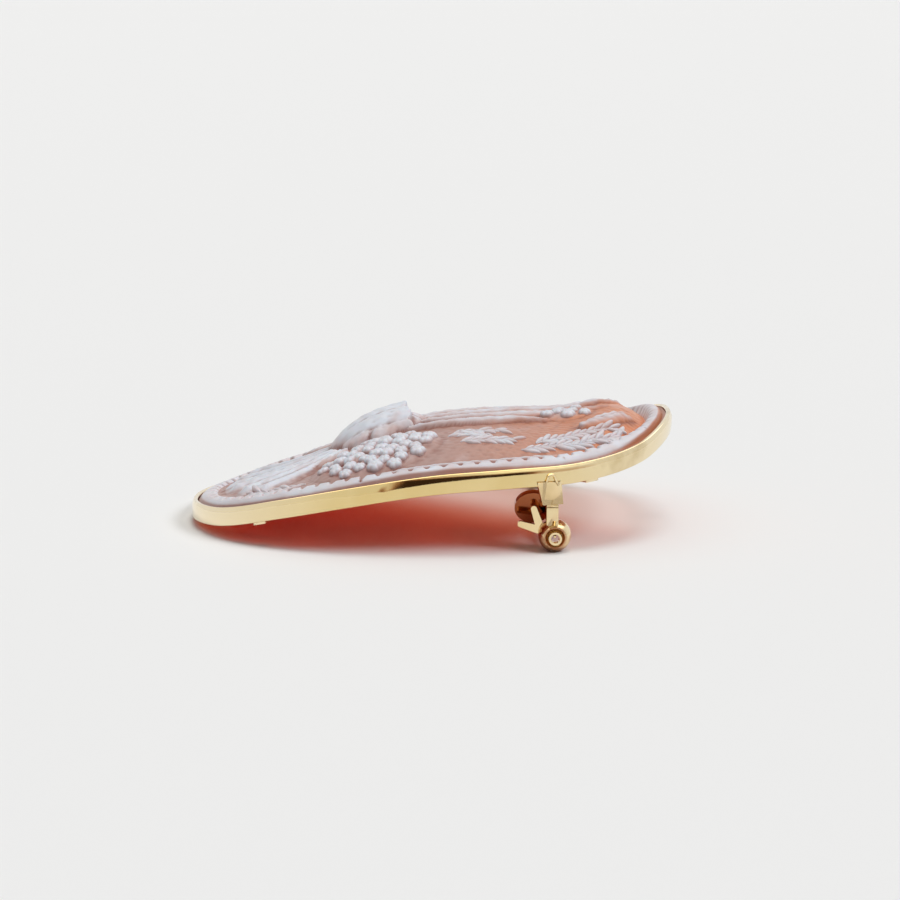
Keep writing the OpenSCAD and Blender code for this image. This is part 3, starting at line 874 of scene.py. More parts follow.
@dataclass(frozen=True)
class GoldBand:
    """The polished band, lofted round the outline with a soft hand-made wave in its face."""

    plate: Plate
    sizes: BandSizes
    around: int = 504
    face_points: int = 18
    corner_points: int = 4
    wave: float = 0.016
    # The upper face's curve: how far down it begins and how far in it leads, then the edge's radius
    curve_down: float = 0.75
    curve_in: float = 0.2
    edge_r: float = 0.1
    # Where the curve begins lower: the angle, over how many degrees, and how much lower
    fuller: tuple[float, float, float] = (262.0, 12.0, 0.5)
    # Small dents of the face: angle, height, breadth in degrees, and depth
    dents: Rows = ((252.5, 1.75, 1.1, 0.03), (255.5, 1.6, 0.9, 0.025), (258.0, 1.85, 0.8, 0.03),
                   (261.0, 1.45, 1.0, 0.018), (301.0, 1.0, 3.0, 0.03), (309.0, 1.3, 3.5, 0.035),
                   (318.0, 0.9, 4.0, 0.04))
    dent_high: float = 0.35

    def face_out(self, up: float, angle: np.ndarray) -> np.ndarray:
        """How far out the outer face stands.

        Args:
            up: Height over the band's lower edge.
            angle: Places round the outline, in degrees.

        Returns:
            Distances out from the wall's outer line.
        """
        b = self.sizes
        at, wide, lower = self.fuller
        down = self.curve_down + lower * bump_at(angle, at, wide)
        curve = np.clip((up - b.height + down) / (down - self.edge_r), 0, 1)
        swell = b.swell * math.sin(math.pi / 2 * min(1.0, (up - b.edge) / (b.height / 2 - b.edge)))
        dent = sum(row[3] * bump_at(angle, row[0], row[2]) * bump_at(np.array(up), row[1], self.dent_high)
                   for row in self.dents)
        return swell - self.curve_in * curve**2 - dent

    def section(self) -> np.ndarray:
        """The band's section, with its outer face left to be set.

        Returns:
            Rows of places out from the wall's outer line and up from its edge, anticlockwise from outside.
        """
        b = self.sizes
        e, h = b.edge, b.height
        corner = np.radians(np.linspace(-90, 0, self.corner_points + 1))
        low = np.stack([-e + e * np.cos(corner), e + e * np.sin(corner)], -1)
        up = np.linspace(e, h - self.edge_r, self.face_points + 1)[1:]
        face = np.stack([np.full_like(up, b.swell), up], -1)
        bend = np.radians(np.linspace(20, 90, self.corner_points + 1)[1:])
        edge = np.stack([b.swell - self.curve_in - self.edge_r * (1 - np.cos(bend)),
                         h - self.edge_r * (1 - np.sin(bend))], -1)
        inner = -b.wall - b.lip
        top = np.array([[inner + 0.12, h - 0.01], [inner + 0.03, h - 0.06], [inner, h - 0.15],
                        [inner + 0.02, h - b.lip_h], [-b.wall, h - b.lip_h - b.lip], [-b.wall, e / 2],
                        [-b.wall + e / 2, 0.0]])
        return np.concatenate([low, face, edge, top])

    def build(self, gold: bpy.types.Material) -> bpy.types.Object:
        """Builds the band.

        Args:
            gold: Its finish.

        Returns:
            The piece.
        """
        store = Bin()
        section = self.section()
        angle = np.arange(self.around) * FULL_TURN / self.around
        rim, out = self.plate.rim_point(angle), self.plate.rim_out(angle)
        level = self.plate.lie(rim[:, 0], rim[:, 1])
        turn = np.radians(angle)
        wave = self.wave * (np.sin(5 * turn + 1.0) + 0.7 * np.sin(11 * turn + 2.0) + 0.5 * np.sin(23 * turn))
        rings = []
        first = self.corner_points + 1
        for row, (place, up) in enumerate(section):
            on_face = first <= row < first + self.face_points
            stand = self.face_out(up, angle) if on_face else place
            ripple = wave * math.sin(math.pi * up / self.sizes.height) * on_face
            p = rim + out * (stand - self.sizes.swell + np.minimum(ripple, 0.0))[:, None]
            rings.append(store.add_points(np.stack([p[:, 0], p[:, 1], level + up], -1)))
        for low, high in zip(rings, rings[1:] + rings[:1]):
            store.add_ring_faces(low, high)
        obj = store.build("gold_band", [gold], outward=True)
        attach(obj, Body.PLATE.value)
        return obj


@dataclass(frozen=True)
class SolderedFindings:
    """Claws, catch housing and hinge bracket: the CAD bezel's own surfaces without its band."""

    plate: Plate
    sizes: BandSizes
    merge: float = 2e-6
    sharp: float = 32.0
    ball: tuple[float, float, float] = (14.0, -17.83, 1.81)
    ball_r: float = 1.88
    round_plate: tuple[float, float, float] = (11.6, -16.1, 4.66)
    round_plate_r: float = 2.2
    # How dark the painted shade and reflection make the round plate, the ball's recess, its rim and its
    # underside
    plate_dark: float = 0.95
    recess_dark: float = 0.9
    rim_dark: float = 0.85
    under_dark: float = 0.9

    def painted_shade_and_reflection(self, points: np.ndarray) -> np.ndarray:
        """Painted shade and reflection on the gold: the round plate, and the ball's recess, rim and
        underside.

        Args:
            points: Rows of x, y and z, in millimetres.

        Returns:
            Marks from 0 to 1.
        """
        off = points - np.array(self.round_plate)
        plate = (np.hypot(off[:, 0], off[:, 2]) < self.round_plate_r) & (np.abs(off[:, 1]) < 1.6)
        plate &= points[:, 0] < self.ball[0] - 0.6
        off = points - np.array(self.ball)
        near = np.linalg.norm(off, axis=1) < self.ball_r + 0.05
        ring = np.hypot(off[:, 0], off[:, 2]) / self.ball_r
        front = smooth(-off[:, 1], -0.2, 0.4)
        recess = self.recess_dark * bump_at(ring, 0.6, 0.1) * (off[:, 1] > -1.75)
        left = smooth(0.3 - off[:, 0] / self.ball_r, 0.0, 0.9)
        rim = self.rim_dark * bump_at(ring, 0.95, 0.17) * left
        low = self.under_dark * smooth(-off[:, 2] / self.ball_r, 0.35, 0.8)
        return np.maximum(self.plate_dark * plate, near * np.maximum(front * np.maximum(recess, rim), low))

    def in_band(self, centres: np.ndarray) -> np.ndarray:
        """Which places belong to the band.

        Args:
            centres: Rows of x, y and z, in millimetres.

        Returns:
            True where a place lies on the band or in it.
        """
        rim = self.plate.rim_point(np.linspace(0, FULL_TURN, 1801)[:-1])
        gaps = np.linalg.norm(centres[:, None, :2] - rim[None], axis=-1)
        near = gaps.argmin(1)
        distance = gaps.min(1)
        inside = np.linalg.norm(centres[:, :2], axis=1) < np.linalg.norm(rim[near], axis=1)
        depth = np.where(inside, distance, -distance)
        level = centres[:, 2] - self.plate.lie(rim[near, 0], rim[near, 1])
        wall = self.sizes.wall + self.sizes.swell + self.sizes.lip + 0.03
        return (depth < wall) & (depth > -0.05) & (level > -0.012) & (level < self.sizes.height + 0.02)

    def build(self, gold: bpy.types.Material) -> bpy.types.Object:
        """Builds the findings.

        Args:
            gold: Their finish.

        Returns:
            The piece, which with the band stands for the CAD bezel.
        """
        mesh = frame["nodes"]["bezel"].data.copy()
        mesh.name = "soldered_findings"
        work = bmesh.new()
        work.from_mesh(mesh)
        bmesh.ops.remove_doubles(work, verts=work.verts, dist=self.merge)
        work.faces.ensure_lookup_table()
        centres = np.array([f.calc_center_median()[:] for f in work.faces]) / MM
        of_band = self.in_band(centres)
        bmesh.ops.delete(work, geom=[f for f, gone in zip(work.faces, of_band) if gone], context="FACES")
        work.to_mesh(mesh)
        work.free()
        mesh.materials.clear()
        mesh.materials.append(gold)
        mesh.polygons.foreach_set("material_index", np.zeros(len(mesh.polygons), np.int32))
        mesh.polygons.foreach_set("use_smooth", np.ones(len(mesh.polygons), bool))
        mesh.set_sharp_from_angle(angle=math.radians(self.sharp))
        points = np.empty(len(mesh.vertices) * 3, np.float32)
        mesh.vertices.foreach_get("co", points)
        attribute = mesh.attributes.new("painted_shade_and_reflection", "FLOAT", "POINT")
        attribute.data.foreach_set("value", self.painted_shade_and_reflection(points.reshape(-1, 3) / MM).astype(np.float32))
        obj = new_object("soldered_findings", mesh)
        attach(obj, Body.PLATE.value)
        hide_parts("bezel")
        return obj


class Sheet:
    """Adds nodes to a tree, with their inputs set or linked."""

    def __init__(self, tree: bpy.types.NodeTree) -> None:
        """Takes the tree."""
        self.tree = tree

    def add(self, kind: str, inputs: dict[str | int, object] | None = None,
            **settings: object) -> bpy.types.Node:
        """Adds a node.

        Args:
            kind: The node's type.
            inputs: Values or output sockets, by the input's name or place.
            **settings: The node's own settings.

        Returns:
            The node.
        """
        node = self.tree.nodes.new(kind)
        for name, value in settings.items():
            setattr(node, name, value)
        for key, value in (inputs or {}).items():
            if isinstance(value, bpy.types.NodeSocket):
                self.tree.links.new(value, node.inputs[key])
            else:
                node.inputs[key].default_value = value
        return node

    def maths(self, operation: str, *values: object, clamp: bool = False) -> bpy.types.NodeSocket:
        """Works out numbers.

        Args:
            operation: What is done.
            *values: Numbers or sockets, in turn.
            clamp: Whether to keep the result from 0 to 1.

        Returns:
            The result's socket.
        """
        return self.add("ShaderNodeMath", dict(enumerate(values)), operation=operation,
                        use_clamp=clamp).outputs[0]

    def mix(self, share: object, first: object, second: object) -> bpy.types.NodeSocket:
        """Mixes two colours.

        Args:
            share: How much of the second.
            first: The first colour or its socket.
            second: The second colour or its socket.

        Returns:
            The mixed colour's socket.
        """
        pair = [(*c, 1) if isinstance(c, tuple) else c for c in (first, second)]
        return self.add("ShaderNodeMix", {0: share, 6: pair[0], 7: pair[1]}, data_type="RGBA").outputs[2]

    def span(self, value: object, low: float = 0.0, high: float = 1.0, to_low: float = 0.0,
             to_high: object = 1.0) -> bpy.types.NodeSocket:
        """Stretches one range of numbers over another, and keeps within it.

        Args:
            value: What is stretched.
            low: Start of its range.
            high: End of its range.
            to_low: Start of the new range.
            to_high: End of the new range.

        Returns:
            The result's socket.
        """
        return self.add("ShaderNodeMapRange", {"Value": value, "From Min": low, "From Max": high,
                                               "To Min": to_low, "To Max": to_high}).outputs[0]

    def mark(self, name: str) -> bpy.types.NodeSocket:
        """Reads a mark that the mesh carries."""
        return self.add("ShaderNodeAttribute", attribute_name=name).outputs["Fac"]


def grain_group() -> bpy.types.NodeTree:
    """The shared group of fine unevenness, built once.

    Returns:
        A shader node group with Scale and Contrast, which gives Mask and Height.
    """
    known = bpy.data.node_groups.get("fine_grain")
    if known:
        return known
    tree = bpy.data.node_groups.new("fine_grain", "ShaderNodeTree")
    for name, value in (("Scale", 400.0), ("Contrast", 1.0)):
        socket = tree.interface.new_socket(name=name, in_out="INPUT", socket_type="NodeSocketFloat")
        socket.default_value = value
    for name in ("Mask", "Height"):
        tree.interface.new_socket(name=name, in_out="OUTPUT", socket_type="NodeSocketFloat")
    sheet = Sheet(tree)
    given = sheet.add("NodeGroupInput").outputs
    place = sheet.add("ShaderNodeTexCoord").outputs["Object"]
    broad = sheet.add("ShaderNodeTexNoise", {"Vector": place, "Scale": given["Scale"], "Detail": 5.0})
    finer = sheet.maths("MULTIPLY", given["Scale"], 6.0)
    fine = sheet.add("ShaderNodeTexNoise", {"Vector": place, "Scale": finer, "Detail": 3.0})
    centred = sheet.maths("SUBTRACT", broad.outputs["Fac"], 0.5)
    spread = sheet.maths("MULTIPLY", centred, given["Contrast"])
    mask = sheet.maths("ADD", spread, 0.5, clamp=True)
    both = sheet.maths("MULTIPLY_ADD", fine.outputs["Fac"], 0.35, broad.outputs["Fac"])
    sheet.add("NodeGroupOutput", {"Mask": mask, "Height": both})
    return tree


def new_material(name: str) -> tuple[bpy.types.Material, Sheet]:
    """An empty node material.

    Args:
        name: Its name.

    Returns:
        The material and the sheet of its nodes.
    """
    material = bpy.data.materials.new(name)
    material.use_nodes = True
    material.node_tree.nodes.clear()
    return material, Sheet(material.node_tree)


@dataclass(frozen=True)
class GoldFinish:
    """Polished pale gold."""

    name: str
    colour: Rgb = (0.86, 0.68, 0.34)
    worn: Rgb = (0.80, 0.61, 0.27)
    # Painted reflection: the colour the band turns to towards both ends
    pale: Rgb = (0.95, 0.82, 0.58)
    # Colour of the painted darker reflection patches
    olive: Rgb = (0.50, 0.34, 0.12)
    # Colour of the painted shade and reflection on the findings
    painted_shade_and_reflection: Rgb = (0.36, 0.10, 0.035)
    pale_from: float = 0.010
    pale_to: float = 0.027
    rough_low: float = 0.05
    rough_high: float = 0.16
    bump: float = 0.04
    edge_round: float = 0.00005
    grain_scale: float = 260.0
    grain_contrast: float = 2.0
    # Patches of painted darker reflection: their scale, and where they set in along the brooch and how far
    # they go
    cloud_scale: float = 210.0
    dark_reflection_from: float = 0.006
    dark_reflection_to: float = 0.014
    dark_reflection_most: float = 0.5

    def material(self) -> bpy.types.Material:
        """Builds the finish."""
        material, sheet = new_material(self.name)
        grain = sheet.add("ShaderNodeGroup", {"Scale": self.grain_scale, "Contrast": self.grain_contrast},
                          node_tree=grain_group())
        fresh = sheet.mix(grain.outputs["Mask"], self.worn, self.colour)
        place = sheet.add("ShaderNodeTexCoord").outputs["Object"]
        x = sheet.add("ShaderNodeSeparateXYZ", {0: place}).outputs[0]
        # Painted reflection: the gold turns paler towards both ends
        end = sheet.span(sheet.maths("ABSOLUTE", x), self.pale_from, self.pale_to)
        lit = sheet.mix(end, fresh, self.pale)
        # Painted darker reflection in patches over the band's right-hand part
        cloud = sheet.add("ShaderNodeTexNoise", {"Vector": place, "Scale": self.cloud_scale, "Detail": 3.0})
        patch = sheet.span(cloud.outputs["Fac"], 0.5, 0.66)
        side = sheet.span(x, self.dark_reflection_from, self.dark_reflection_to, to_high=self.dark_reflection_most)
        toned = sheet.mix(sheet.maths("MULTIPLY", patch, side), lit, self.olive)
        # Painted shade and reflection darken the findings where the mesh marks them
        tint = sheet.mix(sheet.mark("painted_shade_and_reflection"), toned, self.painted_shade_and_reflection)
        rough = sheet.span(grain.outputs["Mask"], to_low=self.rough_low, to_high=self.rough_high)
        soft = sheet.add("ShaderNodeBevel", {"Radius": self.edge_round}, samples=4)
        bump = sheet.add("ShaderNodeBump", {"Strength": self.bump, "Distance": 0.0002,
                                            "Height": grain.outputs["Height"], "Normal": soft.outputs[0]})
        metal = sheet.add("ShaderNodeBsdfPrincipled", {"Base Color": tint, "Metallic": 1.0,
                                                       "Roughness": rough, "Normal": bump.outputs[0]})
        sheet.add("ShaderNodeOutputMaterial", {"Surface": metal.outputs[0]})
        return material


@dataclass(frozen=True)
class ShellFinish:
    """Carved shell: white layers over a brown and orange ground, which lets red light through."""

    name: str
    white: Rgb = (0.60, 0.625, 0.69)
    thin: Rgb = (0.49, 0.385, 0.385)
    ground_low: Rgb = (0.32, 0.185, 0.16)
    ground_high: Rgb = (0.50, 0.165, 0.06)
    # Colour that the painted shade and the darker brown tone mix in
    deep: Rgb = (0.17, 0.045, 0.025)
    through_end: Rgb = (1.0, 0.36, 0.05)
    through: Rgb = (1.0, 0.15, 0.01)
    through_pale: Rgb = (1.0, 0.88, 0.83)
    let_through: float = 0.57
    let_pale: float = 0.9
    roughness: float = 0.36
    ground_to: float = 0.8 * 0.0285
    grain_scale: float = 330.0
    grain_contrast: float = 2.2
    # Where the light let through turns from the low end's orange to red, and aslant from there to pale
    red_from: float = -0.027
    red_to: float = -0.02
    slant: float = 1.2
    pale_from: float = -0.001
    pale_to: float = 0.019
    all_ground: bool = False

    def material(self) -> bpy.types.Material:
        """Builds the finish."""
        material, sheet = new_material(self.name)
        place = sheet.add("ShaderNodeTexCoord").outputs["Object"]
        axes = sheet.add("ShaderNodeSeparateXYZ", {0: place})
        x = axes.outputs[0]
        ground = sheet.mix(sheet.span(x, 0.0, self.ground_to), self.ground_low, self.ground_high)
        grain = sheet.add("ShaderNodeGroup", {"Scale": self.grain_scale, "Contrast": self.grain_contrast},
                          node_tree=grain_group())
        if self.all_ground:
            colour = ground
        else:
            patchy = sheet.maths("MULTIPLY_ADD", grain.outputs["Mask"], -0.35, sheet.mark("white"))
            film = sheet.mix(sheet.span(patchy, -0.15, 0.3), ground, self.thin)
            layer = sheet.mix(sheet.span(patchy, 0.2, 0.7), film, self.white)
            # Painted shade in hollows and notches, and the darker brown tone, turn the colour towards deep
            painted_shade_share = sheet.maths("MULTIPLY", sheet.mark("crevice"), 0.8, clamp=True)
            colour = sheet.mix(painted_shade_share, layer, self.deep)
        bump = sheet.add("ShaderNodeBump", {"Strength": 0.25, "Distance": 0.00012,
                                            "Height": grain.outputs["Height"]})
        skin = sheet.add("ShaderNodeBsdfPrincipled", {
            "Base Color": colour, "Roughness": self.roughness, "Normal": bump.outputs[0],
            "Subsurface Weight": 0.25, "Subsurface Radius": (1.0, 0.45, 0.3), "Subsurface Scale": 0.0006,
            "Coat Weight": 0.12, "Coat Roughness": 0.25})
        # The light let through turns paler aslant towards the back right
        aslant = sheet.maths("MULTIPLY_ADD", axes.outputs[1], self.slant, x)
        paler_share = sheet.span(aslant, self.pale_from, self.pale_to)
        warm = sheet.mix(sheet.span(x, self.red_from, self.red_to), self.through_end, self.through)
        glow = sheet.add("ShaderNodeBsdfTransparent", {"Color": sheet.mix(paler_share, warm, self.through_pale)})
        lets = sheet.span(paler_share, to_low=self.let_through, to_high=self.let_pale)
        shadow = sheet.add("ShaderNodeLightPath").outputs["Is Shadow Ray"]
        share = sheet.maths("MULTIPLY", shadow, lets)
        mixed = sheet.add("ShaderNodeMixShader", {0: share, 1: skin.outputs[0], 2: glow.outputs[0]})
        sheet.add("ShaderNodeOutputMaterial", {"Surface": mixed.outputs[0]})
        return material


@dataclass(frozen=True)
class Socket:
    """One named input of a Geometry Nodes tree."""

    name: str
    kind: str
    value: object = None


class Maker:
    """A Geometry Nodes tree that is run once on an object and leaves a plain mesh."""

    def __init__(self, name: str, sockets: tuple[Socket, ...]) -> None:
        """Makes the tree with its inputs.

        Args:
            name: The tree's name.
            sockets: Its inputs after the geometry.
        """
        self.tree = bpy.data.node_groups.new(name, "GeometryNodeTree")
        self.tree.interface.new_socket(name="Geometry", in_out="INPUT", socket_type="NodeSocketGeometry")
        self.ids: dict[str, str] = {}
        for socket in sockets:
            made = self.tree.interface.new_socket(name=socket.name, in_out="INPUT", socket_type=socket.kind)
            self.ids[socket.name] = made.identifier
        self.tree.interface.new_socket(name="Geometry", in_out="OUTPUT", socket_type="NodeSocketGeometry")
        self.sockets = sockets
        self.sheet = Sheet(self.tree)
        self.given = self.sheet.add("NodeGroupInput").outputs

    def finish(self, geometry: bpy.types.NodeSocket, material: bpy.types.NodeSocket) -> None:
        """Ends the tree with real geometry and its material.

        Args:
            geometry: What the tree made.
            material: The socket of the material.
        """
        add = self.sheet.add
        real = add("GeometryNodeRealizeInstances", {"Geometry": geometry}).outputs[0]
        dressed = add("GeometryNodeSetMaterial", {"Geometry": real, "Material": material}).outputs[0]
        add("NodeGroupOutput", {"Geometry": dressed})

    def standing(self) -> bpy.types.NodeSocket:
        """Rotations that stand on the points' own directions."""
        up = self.sheet.add("GeometryNodeInputNamedAttribute", {"Name": "up"}, data_type="FLOAT_VECTOR")
        return self.sheet.add("FunctionNodeAlignRotationToVector", {"Vector": up.outputs[0]},
                              axis="Z").outputs[0]

    def random(self, low: object, high: object) -> bpy.types.NodeSocket:
        """A number for each point between two others, by the tree's seed."""
        return self.sheet.add("FunctionNodeRandomValue", {2: low, 3: high, "Seed": self.given["Seed"]},
                              data_type="FLOAT").outputs[1]

    def copies(self, points: bpy.types.NodeSocket, template: str, rotation: bpy.types.NodeSocket,
               angle: bpy.types.NodeSocket, size: bpy.types.NodeSocket) -> bpy.types.NodeSocket:
        """Sets copies of a template on points.

        Args:
            points: Where they stand.
            template: The input that holds the template.
            rotation: How they stand.
            angle: How far each is then turned about its own upright.
            size: How large each is.

        Returns:
            The copies' socket.
        """
        add = self.sheet.add
        form = add("GeometryNodeObjectInfo", {"Object": self.given[template]}).outputs["Geometry"]
        about = add("FunctionNodeAxisAngleToRotation", {"Angle": angle}).outputs[0]
        turned = add("FunctionNodeRotateRotation", {0: rotation, 1: about}, rotation_space="LOCAL").outputs[0]
        return add("GeometryNodeInstanceOnPoints", {"Points": points, "Instance": form, "Rotation": turned,
                                                    "Scale": size}).outputs[0]

    def run(self, source: bpy.types.Object, name: str) -> bpy.types.Object:
        """Runs the tree on an object and keeps only the result.

        Args:
            source: The object that carries the points or lines.
            name: The new piece's name.

        Returns:
            The piece as a plain smooth mesh at the origin.
        """
        modifier = source.modifiers.new(name, "NODES")
        modifier.node_group = self.tree
        for socket in self.sockets:
            modifier[self.ids[socket.name]] = socket.value
        graph = bpy.context.evaluated_depsgraph_get()
        mesh = bpy.data.meshes.new_from_object(source.evaluated_get(graph), depsgraph=graph)
        source.modifiers.remove(modifier)
        bpy.data.objects.remove(source)
        mesh.name = name
        mesh.polygons.foreach_set("use_smooth", np.ones(len(mesh.polygons), bool))
        return new_object(name, mesh)


def remove_template(obj: bpy.types.Object) -> None:
    """Takes a template away, once its copies are real."""
    bpy.data.objects.remove(obj)


def standing_points(name: str, points: np.ndarray, pairs: list[list[int]],
                    up: np.ndarray) -> bpy.types.Object:
    """Points that carry the directions in which things stand on them.

    Args:
        name: The object's name.
        points: Rows in millimetres.
        pairs: Which points are joined.
        up: A unit row for each point.

    Returns:
        The object.
    """
    mesh = bpy.data.meshes.new(name)
    mesh.from_pydata((points * MM).tolist(), pairs, [])
    attribute = mesh.attributes.new("up", "FLOAT_VECTOR", "POINT")
    attribute.data.foreach_set("vector", up.astype(np.float32).ravel())
    return new_object(name, mesh)


def surface_tilt(height: Callable[[np.ndarray, np.ndarray], np.ndarray], x: np.ndarray, y: np.ndarray,
                 reach: float) -> np.ndarray:
    """Directions that stand on a surface.

    Args:
        height: The surface's height at places x and y.
        x: Places along the brooch.
        y: Places across it.
        reach: How far round a place the slope is read.

    Returns:
        Unit rows.
    """
    sx = (height(x + reach, y) - height(x - reach, y)) / (2 * reach)
    sy = (height(x, y + reach) - height(x, y - reach)) / (2 * reach)
    up = np.stack([-sx, -sy, np.ones_like(sx)], -1)
    return up / np.linalg.norm(up, axis=-1, keepdims=True)


@dataclass(frozen=True)
class SmallFlowers:
    """Groups of small lobed flowers that stand on the relief's mounds."""

    carving: ShellCarving
    smallest: float = 0.8
    largest: float = 1.15
    rooted: float = 0.1
    lobes: int = 5
    seed: int = 11
    golden: float = 137.5
    # The flower from its middle out: place and height as shares of its radius
    profile: Rows = ((0.0, 0.62), (0.14, 0.62), (0.24, 0.57), (0.4, 0.62), (0.6, 0.56), (0.78, 0.42),
                     (0.92, 0.16), (1.0, -0.3))
    around: int = 20

    def template(self) -> bpy.types.Object:
        """One flower of radius 1 mm at the origin."""
        store = Bin()
        turn = np.arange(self.around) * math.tau / self.around
        lobe = np.abs(np.cos(turn * self.lobes / 2)) ** 0.7
        hub = store.add_points(np.array([[0, 0, self.profile[0][1]]]), white=1.0, crevice=0.0)
        inner = None
        for place, up in self.profile[1:]:
            edge = place * (1 - 0.12 * (1 - lobe) * place)
            z = up - 0.13 * (1 - lobe) ** 1.4 * (place > 0.3) * min(1.0, place * 1.3)
            # Painted shade: each flower is darker and less white at its middle ring, between its lobes and
            # towards its edge
            dark = np.clip(0.25 * bump_at(place, 0.24, 0.06) + 0.4 * (1 - lobe) ** 3 * (place > 0.4)
                           + smooth(np.array(place), 0.7, 1.0), 0, 1)
            ids = store.add_points(np.stack([edge * np.cos(turn), edge * np.sin(turn), z], -1),
                                   white=0.92 - 0.65 * dark, crevice=0.3 * dark)
            if inner is None:
                store.add_faces(np.stack([np.full(self.around, hub[0]), ids, np.roll(ids, -1)], -1))
            else:
                store.add_ring_faces(ids, inner)
            inner = ids
        return store.build("flower_template", [])

    def places(self) -> tuple[np.ndarray, np.ndarray]:
        """Where the flowers stand.

        Returns:
            Places along and across the brooch.
        """
        xs, ys = [], []
        plate = self.carving.plate
        for cx, cy, wx, wy, count in self.carving.relief.mounds:
            i = np.arange(int(count))
            r = np.sqrt((i + 0.5) / count)
            turn = np.radians(self.golden * i)
            xs.append((cx + wx * r * np.cos(turn)) * plate.half_l)
            ys.append((cy + wy * r * np.sin(turn)) * plate.half_w)
        return np.concatenate(xs), np.concatenate(ys)

    def build(self, finish: bpy.types.Material) -> bpy.types.Object:
        """Builds all the flowers as one piece.

        Args:
            finish: Their finish.

        Returns:
            The piece.
        """
        x, y = self.places()
        up = surface_tilt(self.carving.surface, x, y, 0.8)
        rooted = np.stack([x, y, self.carving.surface(x, y) - self.rooted], -1)
        source = standing_points("flower_places", rooted, [], up)
        template = self.template()
        maker = Maker("small_flowers", (
            Socket("Flower", "NodeSocketObject", template),
            Socket("Smallest", "NodeSocketFloat", self.smallest),
            Socket("Largest", "NodeSocketFloat", self.largest), Socket("Seed", "NodeSocketInt", self.seed),
            Socket("Finish", "NodeSocketMaterial", finish)))
        given = maker.given
        points = maker.sheet.add("GeometryNodeMeshToPoints", {"Mesh": given["Geometry"]}).outputs[0]
        spin = maker.random(0.0, math.tau)
        size = maker.random(given["Smallest"], given["Largest"])
        copies = maker.copies(points, "Flower", maker.standing(), spin, size)
        maker.finish(copies, given["Finish"])
        piece = maker.run(source, "small_flowers")
        remove_template(template)
        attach(piece, Body.PLATE.value)
        return piece


